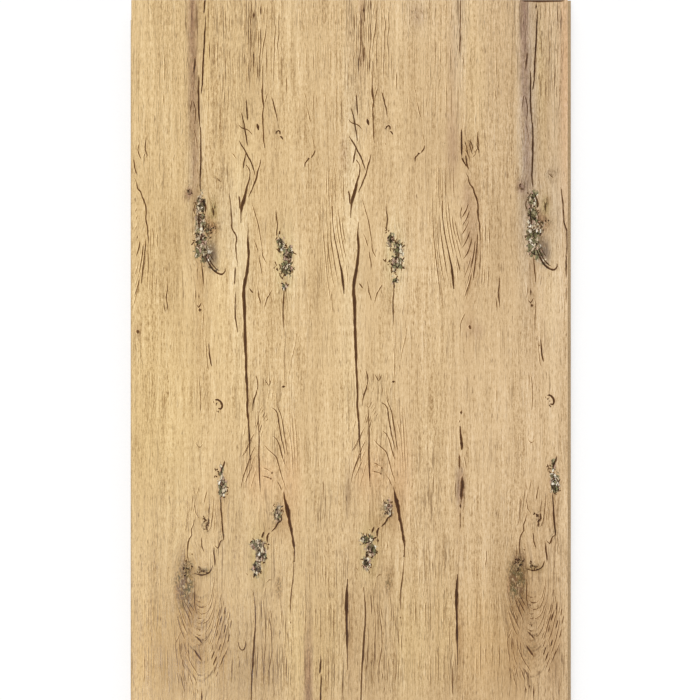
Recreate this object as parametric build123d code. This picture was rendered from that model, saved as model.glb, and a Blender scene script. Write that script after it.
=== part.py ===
from build123d import *

import os
from dataclasses import dataclass

# A laminate floor plank, face up, as it lies on a level floor.
# It is a pressed board of three layers, sawn and milled on all four sides: the printed decor
# layer on top, the fibreboard core that carries the click joint, and the backing below.
# X runs across the plank, Y along it and Z up. The origin is at the middle of the decor face's
# rectangle, on the underside. All sizes are in millimetres.

# The decor face, which is the size that the plank covers once it is laid
FACE_LENGTH = 1285.0
FACE_WIDTH = 192.0

# The three layers, from the top down
DECOR_THICKNESS = 0.3
CORE_THICKNESS = 7.5
BACKING_THICKNESS = 0.2

# The milled joint, by height: what all four sides have in common
UPPER_LIP_THICKNESS = 2.6
SLOT_HEIGHT = 2.4
POCKET_DROP = 0.9
HOOK_HEIGHT = POCKET_DROP
JOINT_PLAY = 0.05

# Small edges of the joint
EASED_EDGE = 0.2
SLOT_LEAD_IN = 0.25
HOOK_EDGE = 0.3
LIP_TOE = 0.4

# The milled joint, by reach: the long sides tilt in, the ends are a little shorter
LONG_SLOT_DEPTH = 4.0
LONG_LIP_REACH = 3.8
END_SLOT_DEPTH = 3.5
END_LIP_REACH = 3.5
SHELF_REACH = 0.5
SHELF_RAMP = 0.6
HOOK_LAND = 0.8
HOOK_RAMP = 0.35
NOSE_GAP = 0.3
LIP_GAP = 0.2

# Heights above the underside that follow from those sizes
PLANK_THICKNESS = BACKING_THICKNESS + CORE_THICKNESS + DECOR_THICKNESS
CORE_TOP = BACKING_THICKNESS + CORE_THICKNESS
SLOT_ROOF = PLANK_THICKNESS - UPPER_LIP_THICKNESS
SLOT_FLOOR = SLOT_ROOF - SLOT_HEIGHT
POCKET_FLOOR = SLOT_FLOOR - POCKET_DROP
HOOK_TOP = POCKET_FLOOR + HOOK_HEIGHT


@dataclass
class ClickJoint:
    """One joint: a grooved edge with a hooked lower lip, and the tongued edge that locks in it.

    Distances count outwards from the joint plane, where two laid faces meet.
    """

    slot_depth: float
    lip_reach: float

    @property
    def hook_crest(self):
        """Where the hook's flat crest begins."""
        return self.lip_reach - HOOK_EDGE - HOOK_LAND

    @property
    def hook_foot(self):
        """Where the hook's locking face rises from the pocket."""
        return self.hook_crest - HOOK_RAMP

    def grooved_edge(self):
        """The edge's curves, from the face down to the underside, as (out, height) points."""
        slot_round = SLOT_HEIGHT / 2
        slot_end = slot_round - self.slot_depth
        slot_back = (-self.slot_depth, SLOT_FLOOR + slot_round)
        mouth = Polyline(
            (-EASED_EDGE, PLANK_THICKNESS),
            (0, PLANK_THICKNESS - EASED_EDGE),
            (0, SLOT_ROOF + SLOT_LEAD_IN),
            (-SLOT_LEAD_IN, SLOT_ROOF),
            (slot_end, SLOT_ROOF),
        )
        slot = ThreePointArc((slot_end, SLOT_ROOF), slot_back, (slot_end, SLOT_FLOOR))
        shelf_and_pocket = Polyline(
            (slot_end, SLOT_FLOOR),
            (SHELF_REACH, SLOT_FLOOR),
            (SHELF_REACH + SHELF_RAMP, POCKET_FLOOR),
            (self.hook_foot, POCKET_FLOOR),
            (self.hook_crest, HOOK_TOP),
            (self.hook_crest + HOOK_LAND, HOOK_TOP),
        )
        hook_tip = RadiusArc(
            (self.hook_crest + HOOK_LAND, HOOK_TOP),
            (self.lip_reach, HOOK_TOP - HOOK_EDGE),
            HOOK_EDGE,
        )
        toe = Polyline(
            (self.lip_reach, HOOK_TOP - HOOK_EDGE),
            (self.lip_reach, LIP_TOE),
            (self.lip_reach - LIP_TOE, 0),
        )
        return [mouth, slot, shelf_and_pocket, hook_tip, toe]

    def tongued_edge(self):
        """The mating edge's curves, from the face down to the underside, clear by the play."""
        tongue_top = SLOT_ROOF - JOINT_PLAY
        tongue_under = SLOT_FLOOR + JOINT_PLAY
        tongue_reach = self.slot_depth - NOSE_GAP
        nose_round = (tongue_top - tongue_under) / 2
        nose_start = tongue_reach - nose_round
        heel = POCKET_FLOOR + JOINT_PLAY
        notch = HOOK_TOP + JOINT_PLAY
        notch_end = -(self.lip_reach + LIP_GAP)
        face = Polyline(
            (-EASED_EDGE, PLANK_THICKNESS),
            (0, PLANK_THICKNESS - EASED_EDGE),
            (0, tongue_top),
            (nose_start, tongue_top),
        )
        nose = ThreePointArc(
            (nose_start, tongue_top),
            (tongue_reach, tongue_under + nose_round),
            (nose_start, tongue_under),
        )
        underside = Polyline(
            (nose_start, tongue_under),
            (-SHELF_REACH - JOINT_PLAY, tongue_under),
            (-SHELF_REACH - SHELF_RAMP - JOINT_PLAY, heel),
            (-self.hook_foot + JOINT_PLAY, heel),
            (-self.hook_crest + JOINT_PLAY, notch),
            (notch_end, notch),
            (notch_end, LIP_TOE),
            (notch_end - LIP_TOE, 0),
        )
        return [face, nose, underside]


def milled_section(joint, face_size):
    """The section across two opposite edges: the low one is grooved and the high one tongued."""
    low, high = -face_size / 2, face_size / 2
    grooved = [Pos(low, 0) * mirror(curve, about=Plane.YZ) for curve in joint.grooved_edge()]
    tongued = [Pos(high, 0) * curve for curve in joint.tongued_edge()]
    face = Line(grooved[0] @ 0, tongued[0] @ 0)
    underside = Line(grooved[-1] @ 1, tongued[-1] @ 1)
    return make_face([*grooved, face, *tongued, underside])


def milled_board():
    """The pressed board after both passes of the mill: the long sides, then the ends.

    Where a hook crosses a tongued edge, the mill leaves a loose crumb, which falls off.
    """
    long_joint = ClickJoint(LONG_SLOT_DEPTH, LONG_LIP_REACH)
    end_joint = ClickJoint(END_SLOT_DEPTH, END_LIP_REACH)
    blank_length = FACE_LENGTH + 2 * (END_SLOT_DEPTH + END_LIP_REACH)
    blank_width = FACE_WIDTH + 2 * (LONG_SLOT_DEPTH + LONG_LIP_REACH)
    long_pass = extrude(
        Plane.XZ * milled_section(long_joint, FACE_WIDTH), amount=blank_length / 2, both=True
    )
    end_pass = extrude(
        Plane.YZ * milled_section(end_joint, FACE_LENGTH), amount=blank_width / 2, both=True
    )
    return (long_pass & end_pass).solids().sort_by(SortBy.VOLUME)[-1]


def layers(board):
    """The board parted at the two glue lines, into what was pressed together."""
    top_line = Plane.XY.offset(CORE_TOP)
    bottom_line = Plane.XY.offset(BACKING_THICKNESS)
    lower = split(board, bisect_by=top_line, keep=Keep.BOTTOM)
    return {
        "decor_layer": split(board, bisect_by=top_line, keep=Keep.TOP),
        "hdf_core": split(lower, bisect_by=bottom_line, keep=Keep.TOP),
        "backing_layer": split(lower, bisect_by=bottom_line, keep=Keep.BOTTOM),
    }


os.makedirs("parts", exist_ok=True)
for node, layer in layers(milled_board()).items():
    export_step(layer, f"parts/{node}.step")
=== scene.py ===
# %% [markdown]
# # A laminate floor plank
#
# The plank is a pressed board: a printed oak sheet on a fibreboard core, with a backing
# sheet under it. The photograph looks straight down on the printed face, so nearly all the
# likeness is in the print and in the grain pressed into it. Good laminate is pressed in
# register: where the print shows a split or a knot, the press plate goes deeper. The lesson
# copies that. The splits are really cut into the sheet, and the finish grows darker with depth.

import math
import random

import bpy
import numpy as np
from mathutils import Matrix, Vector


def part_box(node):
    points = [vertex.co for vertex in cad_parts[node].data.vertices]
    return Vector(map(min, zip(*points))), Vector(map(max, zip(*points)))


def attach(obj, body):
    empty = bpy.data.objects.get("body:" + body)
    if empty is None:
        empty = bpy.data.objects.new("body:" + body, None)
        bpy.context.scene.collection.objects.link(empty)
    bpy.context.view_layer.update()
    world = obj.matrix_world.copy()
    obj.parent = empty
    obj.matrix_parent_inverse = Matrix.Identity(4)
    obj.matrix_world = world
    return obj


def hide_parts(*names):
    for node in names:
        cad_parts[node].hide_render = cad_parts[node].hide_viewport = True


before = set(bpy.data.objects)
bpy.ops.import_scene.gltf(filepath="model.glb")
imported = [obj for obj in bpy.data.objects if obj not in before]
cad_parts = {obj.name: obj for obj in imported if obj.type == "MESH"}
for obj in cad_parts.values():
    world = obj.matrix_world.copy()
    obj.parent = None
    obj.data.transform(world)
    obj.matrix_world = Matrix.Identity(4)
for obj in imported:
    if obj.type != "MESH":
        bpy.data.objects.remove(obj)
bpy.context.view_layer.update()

# %% [markdown]
# ## Where things are
#
# The photograph shows the whole width and the end stretch of the plank. Every mark on the
# face was read off it, in its pixels, so one pair of small functions turns pixels into
# metres on the face. The sheet's own size comes from the frame, never from pixels.

# %% Sizes of the face and the scale of the photograph
FACE_LOW, FACE_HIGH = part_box("decor_layer")
FACE_WIDTH = FACE_HIGH[0] - FACE_LOW[0]
FACE_LENGTH = FACE_HIGH[1] - FACE_LOW[1]
FACE_TOP = FACE_HIGH[2]
SHEET_THICKNESS = FACE_HIGH[2] - FACE_LOW[2]
MM = 0.001

PHOTO_SIDE = 700
FACE_LEFT_PX, FACE_RIGHT_PX = 131, 568
PIXEL = FACE_WIDTH / (FACE_RIGHT_PX - FACE_LEFT_PX)
FACE_MIDDLE_PX = (FACE_LEFT_PX + FACE_RIGHT_PX) / 2
END_ABOVE_FRAME_PX = 0.5


def across_face(x_px):
    """Metres across the plank for a column of the photograph."""
    return (x_px - FACE_MIDDLE_PX) * PIXEL


def along_face(y_px):
    """Metres along the plank for a row of the photograph."""
    return FACE_HIGH[1] - (y_px + END_ABOVE_FRAME_PX) * PIXEL


print(f"one pixel is {PIXEL / MM:.3f} mm")
print(f"the frame shows {PHOTO_SIDE * PIXEL / MM:.0f} mm of the plank")

# %% [markdown]
# ## The camera
#
# A flat face seen square on looks the same from any distance, but the tongue and the lower
# lip stand out under the face's edges and would show from far away. The photograph shows no
# more than a thin dark rim there. So the camera is near, with a wide lens, and the face
# hides nearly all of them.

# %% A camera straight above the seen stretch
LENS_MM = 16.0
seen_height = PHOTO_SIDE * PIXEL
camera_data = bpy.data.cameras.new("overhead_camera")
camera_data.lens = LENS_MM
camera_height = FACE_TOP + seen_height * LENS_MM / camera_data.sensor_width
camera_data.clip_start = 0.01
camera = bpy.data.objects.new("overhead_camera", camera_data)
bpy.context.collection.objects.link(camera)
camera.location = (across_face(PHOTO_SIDE / 2), along_face(PHOTO_SIDE / 2), camera_height)
bpy.context.scene.camera = camera
bpy.context.scene.view_settings.view_transform = "Standard"
print(f"the camera hangs {camera_height / MM:.0f} mm above the floor")

# %% [markdown]
# ## Nodes by hand, with less typing
#
# A material is a tree of nodes. Small helpers add a node with its settings and inputs in one
# line, and turn the colours that a picture viewer shows into the linear ones that Blender's
# sockets want.

# %% Helpers for shader trees
def add_node(tree, kind, inputs=None, **settings):
    """One shader node, with its inputs given as values or as the sockets that feed them."""
    node = tree.nodes.new("ShaderNode" + kind)
    for name, value in settings.items():
        setattr(node, name, value)
    for name, value in (inputs or {}).items():
        if isinstance(value, bpy.types.NodeSocket):
            tree.links.new(value, node.inputs[name])
        else:
            node.inputs[name].default_value = value
    return node


def shade(red, green, blue):
    """A colour as a picture viewer reads it, 0 to 255, in Blender's linear numbers."""
    channels = (red / 255, green / 255, blue / 255)
    linear = [c / 12.92 if c <= 0.04045 else ((c + 0.055) / 1.055) ** 2.4 for c in channels]
    return (*linear, 1.0)


def add_math(tree, operation, first, second=0.0, third=0.0, clamp=False):
    """One Math node's result."""
    inputs = {0: first, 1: second, 2: third}
    return add_node(tree, "Math", inputs, operation=operation, use_clamp=clamp).outputs[0]


def add_mix(tree, amount, under, over, blend="MIX"):
    """Two colours mixed, or one multiplied over the other."""
    inputs = {0: amount, 6: under, 7: over}
    return add_node(tree, "Mix", inputs, data_type="RGBA", blend_type=blend).outputs[2]


def add_ramp(tree, amount, stops):
    """Colours along a ramp, from (position, colour) stops."""
    node = add_node(tree, "ValToRGB", {"Fac": amount})
    elements = node.color_ramp.elements
    while len(elements) < len(stops):
        elements.new(0.5)
    for element, (position, colour) in zip(elements, stops):
        element.position = position
        element.color = colour
    return node.outputs["Color"]


def new_finish(name):
    """A new material, which holds a Principled shader, and its tree."""
    finish = bpy.data.materials.new(name)
    finish.use_nodes = True
    return finish, finish.node_tree


# %% [markdown]
# ## Floor and light
#
# The floor is a plain pale sheet and the light is soft and even: a bright room and one wide
# sun from the upper left, so that the pressed grain has a lit side and a shaded side. The
# camera sees the floor a little brighter than the light makes it, which gives the
# photograph's white ground and keeps the plank's own contact shadow. The floor lies a hair
# below the backing, so that the two flat faces don't flicker through each other.

# %% A pale floor, a soft sun and a bright room
FLOOR_SIDE = 12.0
FLOOR_DROP = 0.02 * MM
ROOM_STRENGTH = 0.68
SUN_STRENGTH = 1.25
SUN_SOFTNESS = 35.0
SUN_TILT = (38.0, -34.0)
FLOOR_LIFT = 0.16


def seen_directly(tree):
    """1 for the camera's rays and for those that gloss or glass passes on to it, 0 for light."""
    path = add_node(tree, "LightPath")
    glossy = add_math(tree, "MAXIMUM", path.outputs["Is Camera Ray"], path.outputs["Is Glossy Ray"])
    return add_math(tree, "MAXIMUM", glossy, path.outputs["Is Transmission Ray"])


bpy.ops.object.select_all(action="DESELECT")
bpy.ops.mesh.primitive_plane_add(size=FLOOR_SIDE, location=(0, 0, -FLOOR_DROP))
floor = bpy.context.object
floor.name = "floor"

floor_finish, tree = new_finish("pale_floor")
surface = tree.nodes["Principled BSDF"]
surface.inputs["Base Color"].default_value = shade(246, 246, 246)
surface.inputs["Roughness"].default_value = 0.9
surface.inputs["Specular IOR Level"].default_value = 0.1
surface.inputs["Emission Color"].default_value = (1, 1, 1, 1)
lift = add_math(tree, "MULTIPLY", seen_directly(tree), FLOOR_LIFT)
tree.links.new(lift, surface.inputs["Emission Strength"])
floor.data.materials.append(floor_finish)

room = bpy.data.worlds.new("bright_room")
room.use_nodes = True
bpy.context.scene.world = room
tree = room.node_tree
background = tree.nodes["Background"]
background.inputs["Color"].default_value = (1, 1, 1, 1)
light_left = add_math(tree, "SUBTRACT", 1.0, ROOM_STRENGTH)
strength = add_math(tree, "MULTIPLY_ADD", seen_directly(tree), light_left, ROOM_STRENGTH)
tree.links.new(strength, background.inputs["Strength"])

sun_data = bpy.data.lights.new("soft_sun", "SUN")
sun_data.energy = SUN_STRENGTH
sun_data.angle = math.radians(SUN_SOFTNESS)
sun = bpy.data.objects.new("soft_sun", sun_data)
bpy.context.collection.objects.link(sun)
sun.rotation_euler = (math.radians(SUN_TILT[0]), math.radians(SUN_TILT[1]), 0)
print("floor, room and sun are in place")

# %% [markdown]
# ## The decor sheet's blank
#
# The real sheet is printed paper under a clear overlay, 0.3 mm thick, with its top edge
# eased so that two planks meet in a fine groove. It could be a plain box, but the colours of
# the print are later painted on its points, so it needs a net of them. A grid gives that
# net, finer where the photograph shows it, and one extrusion makes it a closed sheet.

# %% A grid, extruded to the sheet's thickness, with its top edges eased
NET_ACROSS, NET_ALONG = 80, 150
EASE = 0.2 * MM
HAIR = 0.01 * MM
# how far the second copy of each board is shifted, across and down, in pixels
KNOTTY_REPEAT = (332, -4.5)
SPLIT_REPEAT = (110, -5)
# a window round each knot, in pixels: (left, top, right, bottom), and its board's shift
KNOT_WINDOWS = [
    ((190, 190, 222, 280), KNOTTY_REPEAT),
    ((212, 455, 232, 505), KNOTTY_REPEAT),
    ((174, 555, 216, 606), KNOTTY_REPEAT),
    ((270, 228, 298, 294), SPLIT_REPEAT),
    ((248, 500, 298, 578), SPLIT_REPEAT),
]


def near_knot(spot):
    """True for a place on the face inside one of the knots' windows or their repeats."""
    for (left, top, right, bottom), (right_shift, down_shift) in KNOT_WINDOWS:
        for repeat in (0, 1):
            low_x = across_face(left + repeat * right_shift)
            high_x = across_face(right + repeat * right_shift)
            low_y = along_face(bottom + repeat * down_shift)
            high_y = along_face(top + repeat * down_shift)
            if low_x < spot.x < high_x and low_y < spot.y < high_y:
                return True
    return False


def select_parts(mesh, kind, wanted):
    """Selects the faces or the edges for which wanted(part) is true, and nothing else."""
    bpy.ops.object.mode_set(mode="EDIT")
    bpy.ops.mesh.select_mode(type=kind)
    bpy.ops.mesh.select_all(action="DESELECT")
    bpy.ops.object.mode_set(mode="OBJECT")
    for part in mesh.polygons if kind == "FACE" else mesh.edges:
        part.select = bool(wanted(part))
    bpy.ops.object.mode_set(mode="EDIT")


bpy.ops.object.select_all(action="DESELECT")
bpy.ops.mesh.primitive_grid_add(x_subdivisions=NET_ACROSS, y_subdivisions=NET_ALONG, size=1)
sheet = bpy.context.object
sheet.name = "decor_sheet"
bpy.ops.object.mode_set(mode="EDIT")
bpy.ops.transform.resize(value=(FACE_WIDTH, FACE_LENGTH, 1))
bpy.ops.transform.translate(value=(0, 0, FACE_TOP))
seen_end = along_face(PHOTO_SIDE)
select_parts(sheet.data, "FACE", lambda face: face.center.y > seen_end)
bpy.ops.mesh.subdivide(number_cuts=1)
select_parts(sheet.data, "FACE", lambda face: near_knot(face.center))
bpy.ops.mesh.subdivide(number_cuts=1)
bpy.ops.mesh.select_all(action="SELECT")
bpy.ops.mesh.extrude_region_move(TRANSFORM_OT_translate={"value": (0, 0, -SHEET_THICKNESS)})
bpy.ops.mesh.select_all(action="SELECT")
bpy.ops.mesh.normals_make_consistent(inside=False)
select_parts(sheet.data, "FACE", lambda face: face.normal.z < -0.5)
bpy.ops.mesh.dissolve_faces()


def on_top_rim(edge):
    """True for an edge that runs along the outline of the top."""
    ends = [sheet.data.vertices[i].co for i in edge.vertices]
    on_top = all(end.z > FACE_TOP - HAIR for end in ends)
    along_side = all(abs(abs(end.x) - FACE_WIDTH / 2) < HAIR for end in ends)
    along_end = all(abs(abs(end.y) - FACE_LENGTH / 2) < HAIR for end in ends)
    return on_top and (along_side or along_end)


select_parts(sheet.data, "EDGE", on_top_rim)
bpy.ops.mesh.bevel(offset=EASE, segments=2)
bpy.ops.object.mode_set(mode="OBJECT")
print("the blank has", len(sheet.data.polygons), "faces")

# %% [markdown]
# ## What the print shows
#
# The oak in the print was laid out from two board pictures, side by side. Each is listed
# once, as strokes with a width in pixels, a depth from 0 to 1, and the points that they pass
# through, and the print then repeats both. A third number at a point is the split's own
# width there, where it opens and closes.

# %% The knotty board: the splits above the knot and at the left edge
KNOTTY_BOARD = [
    # the thin split above the knot, and the one beside it
    (1.3, 0.9, [(204.7, -6), (204.2, 8), (203.6, 14)]),
    (1.3, 0.95, [(205.8, 13), (205.2, 22), (204.6, 32), (204.2, 42), (203.6, 52), (203.2, 60),
        (202.6, 68), (202.4, 76), (202.2, 84), (201.4, 90), (200.8, 95)]),
    (1.4, 0.9, [(198.3, 74), (198.6, 82), (198.3, 92), (198.4, 102), (198.6, 112), (199.2, 120),
        (199.8, 130)]),
    (1.4, 0.9, [(200.2, 126), (200.6, 132), (200.6, 150), (200.8, 158), (200.3, 170), (199.8, 180),
        (200.6, 194)]),
    (1.8, 0.6, [(195, 56), (194.6, 62), (193.8, 68), (193.2, 75)]),
    (1, 0.55, [(192, 99), (191, 103), (190.5, 108), (190, 113)]),
    (1, 0.6, [(192, 99), (193.5, 103), (194.8, 108), (195.4, 114), (195, 120), (193.5, 126)]),
    (1, 0.4, [(164, 54), (164.4, 62), (164.2, 72), (164.4, 84)]),
    (1.5, 0.4, [(163.3, 93), (163.2, 100), (163.8, 104)]),
    (1, 0.35, [(223.3, 70), (223, 80), (222.3, 88)]),
    (1, 0.35, [(228.6, 100), (228.4, 108)]),
    # the curl and the split at the left edge
    (1.1, 0.65, [(146, 134), (145.4, 142), (145, 150), (146.8, 155), (146.2, 158)]),
    (1.1, 0.6, [(139, 142), (137.6, 150), (139, 155), (141, 160)]),
    (1, 0.55, [(143, 158), (144, 155), (146, 152)]),
    (1.6, 0.65, [(133.4, 158), (134, 164), (135, 170), (137, 175)]),
    (1.4, 0.7, [(133.5, 177), (136, 182), (137, 187), (138.5, 190), (140.5, 192), (142, 197),
        (144.5, 203), (145.8, 209), (145.6, 216), (146, 222), (147.2, 228), (147.4, 234), (148, 241),
        (149, 247)]),
    (1, 0.4, [(189.5, 120), (190.5, 134)]),
    (1, 0.4, [(194.3, 112), (193.6, 128), (195, 134), (197, 146), (198, 152)]),
]
print(len(KNOTTY_BOARD), "strokes so far")

# %% [markdown]
# The knot is full of torn strokes, with a hook at its foot. Beside it a thin split wanders
# down the seam between the two boards.

# %% The knotty board: the knot and the wandering split
KNOTTY_BOARD += [
    # inside the knot
    (2, 0.7, [(202, 198), (204, 203), (205.5, 208), (204.5, 213)]),
    (1.6, 0.8, [(198, 210), (198.5, 222), (199.5, 230)]),
    (1.2, 0.6, [(195, 203), (193.5, 210), (195.5, 216)]),
    (1.2, 0.5, [(203, 216), (206, 221), (205, 227), (202, 231)]),
    (1.2, 0.7, [(191, 240), (196, 241)]),
    (1.2, 0.6, [(206, 244), (207, 250)]),
    (1.5, 0.85, [(204, 253), (206.5, 259), (209.5, 265), (213, 270), (217.5, 273.4), (222, 274.2),
        (225, 271), (224.4, 267)]),
    (1.2, 0.7, [(206.5, 254), (209.5, 260), (212.5, 265), (216, 269), (220, 271.4)]),
    (1, 0.6, [(208.5, 252), (211, 257), (214.6, 262)]),
    (1.6, 0.6, [(212, 206), (213, 211), (213.2, 217)]),
    (1.2, 0.5, [(215, 200), (214.6, 205), (213.8, 210)]),
    (1, 0.5, [(215.5, 177), (219, 181), (221.5, 182)]),
    (1.4, 0.4, [(232, 153), (234, 156), (236, 159)]),
    # the wandering split at the seam
    (1.2, 0.75, [(228.3, 191), (229.6, 198), (230.6, 206), (231, 213), (231.6, 220), (231.4, 226),
        (233, 231), (235.6, 235), (236.4, 240), (235.5, 245), (236, 252), (236.4, 258), (237.6, 263),
        (236.8, 267)]),
    (1.1, 0.85, [(234.8, 266), (235, 272), (234.6, 280), (234.4, 285)]),
    (1.1, 0.8, [(235.3, 290), (235.2, 300), (235, 310), (235.2, 318), (236.2, 324), (237, 329),
        (237.4, 333)]),
]
print(len(KNOTTY_BOARD), "strokes so far")

# %% [markdown]
# At the left edge stand the rings of an arch, one inside the other. A few short strokes
# follow below the knot.

# %% The knotty board: the rings at the left edge, and the strokes below the knot
KNOTTY_BOARD += [
    # the arch-shaped rings at the left edge
    (1.1, 0.6, [(136.6, 207), (134.6, 213), (132, 218), (129, 222.6)]),
    (1.1, 0.6, [(137.6, 214), (135.4, 221), (133, 225.6), (130, 230)]),
    (1.1, 0.55, [(137, 224), (134.4, 231), (132, 235), (129.6, 239.4)]),
    (1.2, 0.62, [(137.6, 234), (136.3, 240.2), (133, 247.4), (129.6, 252.6)]),
    (1.2, 0.62, [(139.6, 240), (138.7, 247.4), (135.4, 257.4), (129.6, 264.4)]),
    (1.2, 0.65, [(143, 242), (142.3, 253), (140.1, 266), (138.7, 276)]),
    (1.2, 0.65, [(145.6, 236), (145.1, 246), (143.4, 263), (141.6, 277.4), (140.8, 285)]),
    (1.1, 0.55, [(147.4, 246), (148, 263), (147.2, 278)]),
    (1.2, 0.6, [(139, 276), (138, 284), (136, 291), (134, 297), (133, 301)]),
    (1, 0.4, [(146, 248), (145.4, 255), (144.5, 262), (143, 270), (141.6, 280), (142, 288)]),
    (1, 0.35, [(149.5, 236), (149.8, 247), (150.5, 256)]),
    (1, 0.55, [(166.3, 266), (166.6, 274)]),
    (1.1, 0.65, [(166.7, 278), (167, 290), (166, 297), (167, 305), (168, 314)]),
    (1, 0.55, [(163.4, 300), (164.2, 308), (165, 314)]),
    # below the knot
    (1.2, 0.6, [(201, 260), (202, 270), (203, 280), (204, 290)]),
    (1, 0.4, [(197.3, 264), (197.6, 275)]),
    (1, 0.45, [(195.4, 288), (195, 296), (194, 303)]),
    (1.4, 0.65, [(198.4, 292), (198.8, 301)]),
    (1.2, 0.65, [(196, 304), (198, 307), (200, 305), (201.5, 302)]),
    (3, 0.8, [(199, 308), (199.8, 312)]),
    (1.1, 0.45, [(201.5, 302), (203.5, 308), (203.2, 316), (202.5, 326), (202.6, 338)]),
    (2.6, 0.6, [(136.8, 329.5), (137.4, 332), (137.8, 334)]),
    (1.1, 0.45, [(205, 336), (205.8, 345), (206, 352), (207, 360), (207.6, 367), (209, 371)]),
    (1.3, 0.75, [(208.6, 341), (209, 350), (209.6, 357), (210.6, 363), (211.6, 367)]),
    (1, 0.4, [(204, 350), (209, 350)]),
    (1, 0.4, [(196.4, 376), (196.8, 386), (196.6, 394)]),
    (1.1, 0.5, [(198.6, 378), (199.6, 386), (200, 394), (200.4, 402), (200, 410), (199, 415)]),
    (1.6, 0.9, [(214.5, 400), (217, 399.6), (219.5, 401), (221.6, 404), (221.8, 407), (220, 409),
        (217.6, 408)]),
    (1.1, 0.6, [(213, 400), (214, 404)]),
    (1, 0.35, [(163.5, 390), (164, 400), (163, 409)]),
    (1, 0.4, [(196, 442), (197, 446), (200, 447), (203, 443)]),
]
print(len(KNOTTY_BOARD), "strokes so far")

# %% [markdown]
# The lower half begins with a small clump, whose tail branches, and a figure like a flame.

# %% The knotty board: the small clump and the flame
KNOTTY_BOARD += [
    # the small clump's tail and its branch
    (1.6, 0.8, [(224.5, 460), (223.5, 465), (221.5, 469), (221, 474)]),
    (1.4, 0.8, [(220.6, 496), (220.8, 506), (221.4, 514), (221.8, 522), (222.4, 530), (223.4, 537),
        (222.8, 541)]),
    (1.5, 0.6, [(223, 540), (220.5, 541), (219, 545), (217, 548), (214, 545)]),
    (1.3, 0.75, [(213.6, 545), (213.6, 553), (214.6, 560), (214.8, 567)]),
    # the flame-shaped figure above the swirl
    (1.2, 0.55, [(206.6, 489), (205, 497), (203.2, 506)]),
    (1, 0.55, [(209.4, 503), (208.6, 512), (208.4, 518)]),
    (1.1, 0.5, [(213.4, 495), (213.3, 503), (212.6, 512), (211.5, 520), (210.6, 526), (209, 530),
        (206.6, 532)]),
    (1.6, 0.75, [(203, 518), (205, 520), (207, 521)]),
    (1.4, 0.75, [(208, 516), (208.6, 523), (206, 526), (207, 532)]),
    (1.1, 0.45, [(188, 500), (187.8, 510), (187, 518), (186.4, 526), (185, 531)]),
    (1, 0.4, [(193.4, 484), (193.8, 491), (195, 496)]),
    (1, 0.4, [(199, 484), (198, 490), (196.5, 495)]),
    (1.1, 0.45, [(195.4, 504), (195, 511), (196.5, 515), (199, 519)]),
    (1.2, 0.65, [(194.5, 517), (193.4, 524), (191, 530), (191.6, 535), (189, 539), (187.6, 545),
        (187, 552), (187.6, 558), (188.6, 564)]),
    (1.1, 0.45, [(183.8, 545), (184, 556), (184.4, 563)]),
    (1.2, 0.65, [(200.4, 536), (201.4, 541), (201.4, 545), (202.6, 549), (204, 553)]),
    (1.8, 0.6, [(191.4, 553), (192.2, 555.5)]),
    (1, 0.4, [(147.8, 535), (147.8, 550)]),
]
print(len(KNOTTY_BOARD), "strokes so far")

# %% [markdown]
# Under the flame lies the board's last knot. The swirl's rings bend round its foot, one
# below the other.

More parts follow.
